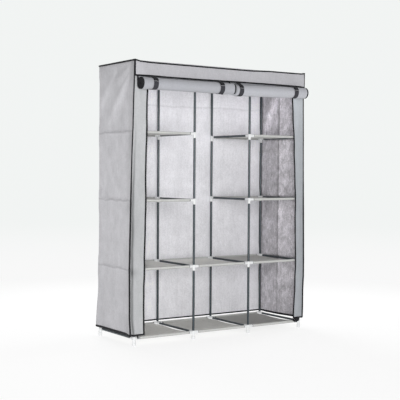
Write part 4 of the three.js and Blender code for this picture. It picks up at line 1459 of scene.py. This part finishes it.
# %% Zip sliders
wedge_height = 15 * mm
lower_width_share = 0.72
pull_radius, pull_gauge, pull_stretch = 3 * mm, 1.2 * mm, 9 * mm
for side, name in ((-1, "left"), (1, "right")):
    low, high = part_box(f"{name}_zip_slider")
    clear_selection()
    bpy.ops.mesh.primitive_cube_add(size=1)
    wedge = bpy.context.object
    body_low = high.z - wedge_height
    for vertex in wedge.data.vertices:
        share = vertex.co.z + 0.5
        width = (high.x - low.x) * (lower_width_share + (1 - lower_width_share) * share)
        vertex.co.x = (low.x + high.x) / 2 + vertex.co.x * width
        vertex.co.y = (low.y + high.y) / 2 + vertex.co.y * (high.y - low.y) * 0.9
        vertex.co.z = body_low + (high.z - body_low) * share
    bevel = wedge.modifiers.new("soft edges", "BEVEL")
    bevel.width = 0.9 * mm
    bevel.segments = 3
    apply_modifiers(wedge)
    clear_selection()
    bpy.ops.mesh.primitive_cylinder_add(vertices=20, radius=pull_radius, depth=pull_gauge)
    pull = bpy.context.object
    pull.data.transform(Matrix.Rotation(math.pi / 2, 4, "X"))
    for vertex in pull.data.vertices:
        vertex.co.z = vertex.co.z * 1.2 + (pull_stretch if vertex.co.z > 0 else -pull_stretch)
    pull.data.transform(Matrix.Translation(((low.x + high.x) / 2, low.y + 0.2 * mm, low.z + 13.5 * mm)))
    slider = joined(f"{name}_zip_slider_metal", [wedge, pull])
    dress(slider, f"{name}_zip", [zip_metal], [f"{name}_zip_slider"])
    print(name, "slider: x", round(low.x, 4), "to", round(high.x, 4), "and top", round(high.z, 4))

# %% [markdown]
# Each shelf is one piece of cloth with a sleeve sewn at the front and at the back, and the tubes
# run through the sleeves. The sheet follows one line from the seam behind the front tube, round the
# tube, back across the sagging span, and round the back tube.

# %% Shelf section
sleeve_slack = 0.4 * mm
shelf_sag = 7 * mm
seam_reach = 16 * mm
seam_drop, seam_dent = 2.2 * mm, 1.5 * mm
sleeve_radius = tube_radius + 0.3 * mm
loop_from, loop_to = -38, -352
arc_points, span_points = 22, 30


def shelf_line(droop, sag):
    """The shelf's line in y and z, from the seam behind the front tube to the one at the back."""
    def sleeve(y, way):
        """The part of the line that goes round one tube."""
        points = []
        for i in range(arc_points + 1):
            angle = math.radians(loop_from + (loop_to - loop_from) * i / arc_points)
            low = max(0.0, -math.sin(angle))
            points.append((y + way * sleeve_radius * math.cos(angle),
                           levels[0] + sleeve_radius * math.sin(angle) - droop * low))
        return points
    front = sleeve(front_post_y, 1)
    back = sleeve(back_post_y, -1)[::-1]
    y0, y1 = front[-1][0], back[0][0]
    crown = front[-1][1]
    span = []
    for i in range(1, span_points):
        share = i / span_points
        span.append((y0 + (y1 - y0) * share, crown - sag * (1 - (2 * share - 1) ** 2)))
    under = crown - seam_drop
    seam_front = [(y0 + seam_reach, under - 0.2 * sag), (y0 + seam_reach / 3, under - seam_dent)]
    seam_back = [(y1 - seam_reach / 3, under - seam_dent), (y1 - seam_reach, under - 0.2 * sag)]
    return seam_front + front + span + back + seam_back


plain_line = shelf_line(0, 0)
line_count = len(plain_line) - 1
line = shelf_line(sleeve_slack, shelf_sag)
line_length = sum(math.dist(a, b) for a, b in zip(line, line[1:]))
print("a shelf is cut", round(line_length, 3), "m long, sleeves included")

# %% [markdown]
# Seen from above a shelf isn't a plain rectangle. Its sleeves stop at the connectors, and the cloth
# between them reaches further out to the depth tubes. The line found above is laid at every place
# across the shelf, with its own sag.

# %% How a shelf lies
shelf_wing = 26 * mm
edge_sags = (12 * mm, 12 * mm, 7 * mm, 2 * mm)


def shelf_spot(low_x, high_x, level, seed):
    """A shelf's formula. Beside the depth tubes it hangs lowest on the two lowest levels, and is
    pulled up on the highest."""
    edge_sag = edge_sags[levels.index(level)]

    def spot(s, t):
        place = t * line_count
        i = min(int(place), line_count - 1)
        y = plain_line[i][0] + (plain_line[i + 1][0] - plain_line[i][0]) * (place - i)
        from_tube = min(y - front_post_y, back_post_y - y)
        in_span = arc_points + 2 < place < line_count - arc_points - 2
        wing = shelf_wing * blend_value(from_tube, 22 * mm, 90 * mm) if in_span else 0
        x = low_x - wing + (high_x - low_x + 2 * wing) * s
        free = 4 * s * (1 - s)
        droop = sleeve_slack * (0.3 + 0.9 * free) + 0.3 * mm * drift(x, 0, level, 0.08, seed)
        sag = edge_sag + (1.15 * shelf_sag - edge_sag) * free + 1.2 * mm * drift(x, 0, level, 0.12, seed + 1)
        line = shelf_line(droop, sag)
        (y0, z0), (y1, z1) = line[i], line[i + 1]
        part = place - i
        y = y0 + (y1 - y0) * part
        z = z0 + (z1 - z0) * part + level - levels[0]
        inner = blend_value(t, 0.3, 0.42) * blend_value(t, 0.7, 0.58)
        ripple = 0.9 * mm * drift(x, y, 0, 0.06, seed + 2) * inner
        return (x, y, z + ripple)
    return spot


print("beside the depth tubes the levels sag by", [round(sag / mm) for sag in edge_sags], "mm")

# %% [markdown]
# The real cloth is thin, and the shelves stand in uneven light, so each is painted a tone of its own at its
# front and at its back, as light and shade. Their sleeves get a paler cloth and a painted shadow on their
# underside. The painted tones are marks on the points again, so all ten shelves share two materials.

# %% Shelves
shelf_painted_light_and_shade = {
    "left_shelf_1": (-0.28, -0.14), "middle_shelf_1": (-0.12, 0.05), "right_shelf_1": (0.46, 0.40),
    "left_shelf_2": (-0.45, -0.45), "middle_shelf_2": (-0.15, -0.45), "right_shelf_2": (0.12, 0.20),
}


def shelf_painted_shade(node, level):
    """The sheet's painted light and shade from front to back, and a painted shadow under its sleeves."""
    front_tone, back_tone = shelf_painted_light_and_shade.get(node, (0.0, 0.0))

    def dark(x, y, z):
        """How much darker the shelf is painted at a point, as shade."""
        between = blend_value(min(y - front_post_y, back_post_y - y), 9 * mm, 20 * mm)
        back = blend_value(y, front_post_y + 20 * mm, back_post_y) ** 0.8
        tone = front_tone + (back_tone - front_tone) * back
        if level == levels[0]:
            tone -= (0.2 if front_tone > 0 else 0.5) * math.exp((front_post_y - y) / (45 * mm))
        below = blend_value(z, level + 2 * mm, level - 5 * mm)
        return between * tone + 0.25 * (1 - between) * below
    return dark


shelf_gauge = 0.5 * mm
shelf_nodes = [node for node in frame["nodes"] if "_shelf_" in node]
for number_of_shelf, node in enumerate(shelf_nodes):
    low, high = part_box(node)
    level = min(levels, key=lambda z: abs(z - (low.z + high.z) / 2))
    spot = shelf_spot(low.x, high.x, level, 50 + number_of_shelf)
    shelf = cloth_sheet(f"{node}_cloth", 40, line_count, spot, shelf_gauge)
    clothe(shelf, shelf_grey, shelf_grey)
    mark_painted_shade(shelf, shelf_painted_shade(node, level))
    shelf.data.materials.append(shelf_hem)
    for polygon in shelf.data.polygons:
        near_tube = min(abs(polygon.center.y - front_post_y), abs(polygon.center.y - back_post_y))
        if near_tube < seam_reach:
            polygon.material_index = 2
    dress(shelf, "wardrobe", [], [node])
print(len(shelf_nodes), "shelves")

# %% [markdown]
# A rolled door is a long sheet wound round itself. The sheet comes down from the top seam behind
# the roll, goes under it, up the front and inwards, turn after turn. Where the two doors overlap,
# the left roll is pressed flat in front and the right one behind. One formula gives the roll's
# middle and its two half sizes at each place along it.

# %% The shape of a roll
roll_radius = 36 * mm
sheet_pitch = 2.75 * mm
turns = 11
roll_gap = 0.2 * mm
roll_y = header_y["left"] - roll_gap - roll_radius
roll_shortening = 27 * mm
left_roll = {"side": "left", "from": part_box("left_door_roll")[0].x,
             "to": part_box("left_door_roll")[1].x - roll_shortening}
right_roll = {"side": "right", "from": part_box("right_door_roll")[0].x,
              "to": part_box("right_door_roll")[1].x - roll_shortening}
rest_under_hem = valance_hem - roll_radius
strap_names = ("left_door_outer_strap", "left_door_inner_strap", "right_door_inner_strap",
               "right_door_outer_strap")
strap_centres = [middle(name, 0) for name in strap_names]


def roll_section(roll, x):
    """The middle (y, z) of the roll at x, and how deep and tall it is from there."""
    if roll["side"] == "left":
        z = rest_under_hem - 8 * mm
        pressed = blend_value(x, right_roll["from"] - 36 * mm, right_roll["from"] - 1 * mm)
        deep, tall = 19.0 * mm, 32.5 * mm
        offset = -(roll_radius - deep)
    else:
        share = (x - roll["from"]) / (roll["to"] - roll["from"])
        z = rest_under_hem - (17 - 14 * share) * mm
        pressed = blend_value(x, left_roll["to"] + 14 * mm, left_roll["to"] + 3 * mm)
        deep, tall = 16.0 * mm, 28.5 * mm
        offset = roll_radius - deep
    tight = 0.9 * mm * max(hill(x - centre, 0.022) for centre in strap_centres)
    soft = 0.5 * mm * drift(x, 0, 0, 0.14, 61)
    return (roll_y + offset * pressed, z,
            roll_radius + (deep - roll_radius) * pressed - tight * (1 - pressed),
            roll_radius + (tall - roll_radius) * pressed - tight + soft * (1 - pressed))


def roll_point(roll, x, turn, lift=0.0):
    """A point of the wound sheet, so many turns in from the outside, lifted off by a distance."""
    y, z, deep, tall = roll_section(roll, x)
    share = 1 - (turn * sheet_pitch - lift) / roll_radius
    angle = -2 * math.pi * turn
    crease = 1 + 0.012 * drift(x * 0.35, math.cos(angle) * 0.03, math.sin(angle) * 0.03, 0.03, 63)
    return (x, y + deep * share * math.cos(angle) * crease, z + tall * share * math.sin(angle) * crease)


def tail_point(roll, x, share):
    """The sheet between the door's header and the back of the roll: share 0 is up at the header."""
    y, z, deep, tall = roll_section(roll, x)
    seam_y = header_y[roll["side"]] + cloth_thickness
    back = Vector((x, y + deep, z))
    top = Vector((x, seam_y - 0.4 * mm, header_low - 0.3 * mm))
    bend = Vector((x, min(y + deep + 5 * mm, seam_y - 0.4 * mm), z + 0.86 * tall))
    return tuple(top * (1 - share) ** 2 + bend * 2 * share * (1 - share) + back * share ** 2)


print("the rolls overlap by", round((left_roll["to"] - right_roll["from"]) / mm), "mm in the middle")

# %% [markdown]
# Winding is only a matter of where each row of the grid goes: a few rows for the tail that comes
# down to the roll, then the same number of rows for every turn. The last column at each end is
# shifted a little from turn to turn, as no one rolls a door perfectly straight.

# %% Wind the doors
tail_steps, steps_a_turn = 8, 40
sheet_gauge = 0.9 * mm
# The left door is painted a little darker and the right one a little lighter: painted shade and light on the
# same cloth.
roll_painted_shade = {"left": 0.09, "right": -0.06}


def wound_sheet(name, roll, from_x, to_x, across, lift, gauge):
    """A sheet wound as the roll is, from one x to another, and lifted off it by a distance."""
    steps = turns * steps_a_turn + tail_steps

    def spot(s, t):
        step = (1 - t) * steps
        x = from_x + (to_x - from_x) * s
        if step < tail_steps:
            x, y, z = tail_point(roll, x, step / tail_steps)
            return (x, y - lift * 0.5, z)
        turn = (step - tail_steps) / steps_a_turn
        skew = 1.1 * mm * drift(turn * 0.4, 0, 0, 1.0, 71 + from_x)
        return roll_point(roll, x + skew * (1 if abs(s - 0.5) > 0.49 else 0), turn, lift)
    return cloth_sheet(name, across, steps, spot, gauge)


length = sum(2 * math.pi * (roll_radius - sheet_pitch * (turn + 0.5)) for turn in range(turns))
for roll in (left_roll, right_roll):
    side = roll["side"]
    door = wound_sheet(f"{side}_door_roll_cloth", roll, roll["from"] + 1 * mm, roll["to"] - 1 * mm, 84, 0,
                       sheet_gauge)
    clothe(door, roll_grey, roll_grey)
    mark_painted_shade(door, lambda x, y, z: roll_painted_shade[side])
    dress(door, f"{side}_door", [], [f"{side}_door_roll"])
    print(side, "door: flat", round(roll["to"] - roll["from"], 3), "by", round(length, 3), "m, wound")

# %% [markdown]
# Both side edges of a door are bound with black tape, so a rolled door shows a black spiral at each
# end. The binding follows the same winding, a little thicker than the cloth.

# %% Door edge binding
bound_width = 8 * mm
binding_overhang, binding_lift, binding_gauge = 1.2 * mm, 0.7 * mm, 2.1 * mm
for roll in (left_roll, right_roll):
    side = roll["side"]
    for end, (low_x, high_x) in (("left", (roll["from"] - binding_overhang, roll["from"] + bound_width)),
                                 ("right", (roll["to"] - bound_width, roll["to"] + binding_overhang))):
        name = f"{side}_door_roll_{end}_binding"
        binding = wound_sheet(name, roll, low_x, high_x, 4, binding_lift, binding_gauge)
        clothe(binding, piping_black, piping_black)
        dress(binding, f"{side}_door", [])
        print(name, "has", len(binding.data.polygons), "faces")

# %% [markdown]
# Above each roll a short run of the door goes up to the top seam. When the door is let down this
# run becomes the whole door, so it bends between the wardrobe and the roll. It has many rows for
# that, and soft upright folds that show once it hangs.

# %% Door cloth above the rolls
hang_rows = 150
for roll in (left_roll, right_roll):
    side = roll["side"]
    low_x, high_x = roll["from"], min(roll["to"], back_half)
    face = header_y[side] + cloth_thickness

    def hang_spot(x, t, out=0.0):
        """A place on the hanging cloth, for a share t up from the roll."""
        fold = 0.35 * mm * drift(x, 0, 0, 0.05, 81) + 0.3 * mm * math.sin(23 * x)
        z = header_low + (header_top - seam_dip(x) - header_low) * t
        return (x, face - 0.4 * mm - abs(fold) * (1 - t) - out, z)

    def add_blend(piece):
        """Bakes the piece's place into its mesh; no stretch from the wardrobe to the door is set up here."""
        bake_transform(piece)

    cloth = cloth_sheet(f"{side}_door_cloth", 90, hang_rows,
                        lambda s, t: hang_spot(low_x + 6 * mm + (high_x - low_x - 12 * mm) * s, t), 0.5 * mm)
    clothe(cloth, roll_grey, paler_inside_painted_light)
    dress(cloth, None, [], [f"{side}_door_header"])
    add_blend(cloth)
    for end, start_x in (("left", low_x), ("right", high_x - bound_width)):
        edge = cloth_sheet(f"{side}_door_{end}_edge_tape", 2, hang_rows,
                           lambda s, t: hang_spot(start_x + bound_width * s, t, 0.1 * mm), 0.7 * mm)
        clothe(edge, piping_black, piping_black)
        dress(edge, None, [])
        add_blend(edge)
    print(side, "door's hanging cloth:", round((header_top - header_low) / mm), "mm at rest")

# %% [markdown]
# Four straps hold the rolls. A short tab comes forward from the valance over the top of the roll,
# and a longer tape comes round from behind, under the roll and up the front, where it fastens
# under the tab. The tape is ribbed and greyer than the tab, and turns aside a little below. Both
# follow lists of points round the roll, and a sheet is laid along each list.

# %% A strap's line round its roll
strap_half = 17 * mm
tab_gauge, tape_gauge, stitch_gauge, leg_gauge = 1.1 * mm, 0.5 * mm, 0.3 * mm, 0.6 * mm
leg_y = middle("left_zip_slider", 1) - 2.6 * mm
leg_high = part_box("strap_header_tape")[1].z


def around(roll, x, degrees, lift):
    """A point outside the roll at an angle from its back, counted over the top."""
    z = roll_section(roll, x)[1]
    reach = roll_radius + lift
    angle = math.radians(degrees)
    return Vector((x, roll_y + reach * math.cos(angle), z + reach * math.sin(angle)))


def along(points, share):
    """A point at a share of the way along a list of points."""
    place = share * (len(points) - 1)
    i = min(int(place), len(points) - 2)
    return points[i].lerp(points[i + 1], place - i)


print("the straps are", round(2 * strap_half / mm), "mm wide, at", [round(x, 3) for x in strap_centres])

# %% [markdown]
# Each strap is four pieces. The tab and the stitching stay on the wardrobe, the tape turns on its
# hinge when the strap is opened, and a back leg runs up behind the door to the top seam.

# %% Straps
for name, centre in zip(strap_names, strap_centres):
    roll = left_roll if name.startswith("left") else right_roll
    side = roll["side"]
    hinge = next(j for j in frame["joints"] if j["child"] == name.replace("_door_", "_"))["pos_m"]
    hem_spot = valance_place(centre, 0.03)
    tab_root = Vector((centre, hem_spot[1] + 2.5 * mm, hem_spot[2] + 1 * mm))
    tab_line = [tab_root] + [around(roll, centre, a, 1.4 * mm) for a in range(104, 164, 4)]
    tape_line = [around(roll, centre, a, 0.6 * mm) for a in range(156, 306, 4)]
    tape_line += [tape_line[-1].lerp(Vector(hinge), 0.5), Vector(hinge)]

    def tab_spot(s, t):
        """A place on the tab, which is widest along x."""
        point = along(tab_line, 1 - t)
        return (centre + strap_half * (2 * s - 1), point.y, point.z)

    def lower_spot(s, t):
        """A place on the lower tape, which turns a little aside towards its end."""
        point = along(tape_line, 1 - t)
        aside = -5 * mm * blend_value(1 - t, 0.35, 1.0)
        return (centre + aside + strap_half * 0.97 * (2 * s - 1), point.y, point.z)

    tab = cloth_sheet(f"{name}_tab", 8, 60, tab_spot, tab_gauge, uv=(2 * strap_half, 0.06))
    clothe(tab, strap_black, strap_black)
    dress(tab, "wardrobe", [], ["edge_binding"])
    tape = cloth_sheet(f"{name}_tape", 8, 110, lower_spot, tape_gauge, uv=(2 * strap_half, 0.11))
    clothe(tape, strap_ribbed, strap_black)
    dress(tape, name.replace("_door_", "_"), [], [name])
    stitch = cloth_sheet(
        f"{name}_stitching", 8, 2,
        lambda s, t: (centre + strap_half * 0.9 * (2 * s - 1),
                      *around(roll, centre, 161.5 - 2.2 * t, 2.3 * mm)[1:]), stitch_gauge)
    clothe(stitch, pale_thread, pale_thread)
    dress(stitch, "wardrobe", [])
    leg_low = Vector(hinge)
    leg_rise = leg_high - 5 * mm - seam_dip(centre) - leg_low.z
    leg = cloth_sheet(
        f"{name}_back_leg", 6, 60,
        lambda s, t: (centre + strap_half * (2 * s - 1),
                      leg_y + (leg_low.y + 1.5 * mm - leg_y) * blend_value(t, 0.14, 0.0),
                      leg_low.z + 2.5 * mm + leg_rise * t), leg_gauge, uv=(2 * strap_half, 0.17))
    clothe(leg, strap_black, strap_black)
    dress(leg, "wardrobe", [], ["strap_header_tape"])
    print(name, "hangs", round(leg_rise / mm), "mm below the seam at the back")

# %% [markdown]
# The four back legs are sewn to one long tape in the top seam. It is hidden behind the valance, and
# is only a narrow sheet that follows the seam's dip.

# %% Tape in the top seam
seam_tape_width = 8 * mm
tape_low, tape_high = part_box("strap_header_tape")


def seam_tape_spot(s, t):
    """A place on the seam tape, from its shares along and up."""
    x = tape_low.x + (tape_high.x - tape_low.x) * s
    return (x, leg_y - 0.9 * mm + 0.2 * mm * math.sin(60 * s),
            tape_high.z - seam_dip(x) - seam_tape_width * (1 - t))


seam_tape = cloth_sheet("strap_seam_tape", 160, 6, seam_tape_spot, 0.4 * mm)
clothe(seam_tape, strap_black, strap_black)
dress(seam_tape, "wardrobe", [], ["strap_header_tape"])
print("the seam tape is", round(tape_high.x - tape_low.x, 3), "m long")

# %% [markdown]
# Two small things hang at the hems: a short tab of tape on the left strip, and a little bow on the
# right one. Both are made of narrow bands with a bend, and the bow's knot is a thicker one.

# %% Hem tab and bow
def band(name, points, half_width, gauge):
    """A narrow band of tape that follows a few points, facing the front."""
    line = [Vector(point) for point in points]

    def spot(s, t):
        point = along(line, 1 - t)
        ahead = along(line, min(1.0, 1 - t + 0.02)) - along(line, max(0.0, 1 - t - 0.02))
        across = Vector((0, -1, 0)).cross(ahead.normalized())
        return tuple(point - across * half_width * (2 * s - 1))
    made = cloth_sheet(name, 4, 24, spot, gauge)
    clothe(made, piping_black, piping_black)
    return dress(made, "wardrobe", [], ["edge_binding"])


tab_x, tab_y = strip_place(-1, -(side_x - 51 * mm), hem_z)[:2]
band("left_hem_loop", [(tab_x, tab_y - 3 * mm, hem_z), (tab_x, tab_y - 4 * mm, hem_z - 10 * mm),
                       (tab_x + 3 * mm, tab_y - 3 * mm, hem_z - 23 * mm)], 4.5 * mm, 1.0 * mm)
knot_x, knot_y = strip_place(1, strip_inner + 16 * mm, hem_z)[:2]
knot_z = hem_z + 3 * mm
for way, part in ((-1, "left"), (1, "right")):
    band(f"right_hem_bow_{part}_loop",
         [(knot_x, knot_y - 4 * mm, knot_z - 3 * mm),
          (knot_x + way * 14 * mm, knot_y - 8 * mm, knot_z - 2 * mm),
          (knot_x + way * 24 * mm, knot_y - 9 * mm, knot_z - 10 * mm),
          (knot_x + way * 15 * mm, knot_y - 11 * mm, knot_z - 17 * mm),
          (knot_x, knot_y - 8 * mm, knot_z - 9 * mm)], 5.5 * mm, 2.0 * mm)
    band(f"right_hem_bow_{part}_tail",
         [(knot_x, knot_y - 6 * mm, knot_z - 6 * mm),
          (knot_x + way * 3 * mm, knot_y - 9 * mm, knot_z - 17 * mm),
          (knot_x + way * 8 * mm, knot_y - 8 * mm, knot_z - 28 * mm)], 3.8 * mm, 1.6 * mm)
band("right_hem_bow_knot",
     [(knot_x - 8 * mm, knot_y - 9 * mm, knot_z - 5 * mm), (knot_x, knot_y - 13 * mm, knot_z - 7 * mm),
      (knot_x + 8 * mm, knot_y - 9 * mm, knot_z - 8 * mm)], 8 * mm, 4 * mm)
print("the tab hangs at x", round(tab_x, 3), "and the bow at", round(knot_x, 3))

# %% [markdown]
# When a door is let down, its roll has been used up: what is left at the bottom is a flat hem. Here the roll,
# its binding and the straps round it only get meshes of their own; nothing flattens them. This comes last,
# because the meshes must be final.

# %% Own meshes for what the doors leave behind
for side in ("left", "right"):
    roll_pieces = [o for o in bpy.data.objects if o.name.startswith(f"{side}_door_roll_")]
    for piece in roll_pieces:
        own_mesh(piece)
    for name in (n for n in strap_names if n.startswith(side)):
        for part in ("tab", "tape", "stitching"):
            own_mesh(bpy.data.objects[f"{name}_{part}"])
    print(len(roll_pieces), "pieces of the", side, "roll are flattened as it goes down")

# %% [markdown]
# Everything is in place.

# %% Finish
bpy.context.view_layer.update()
clear_selection()
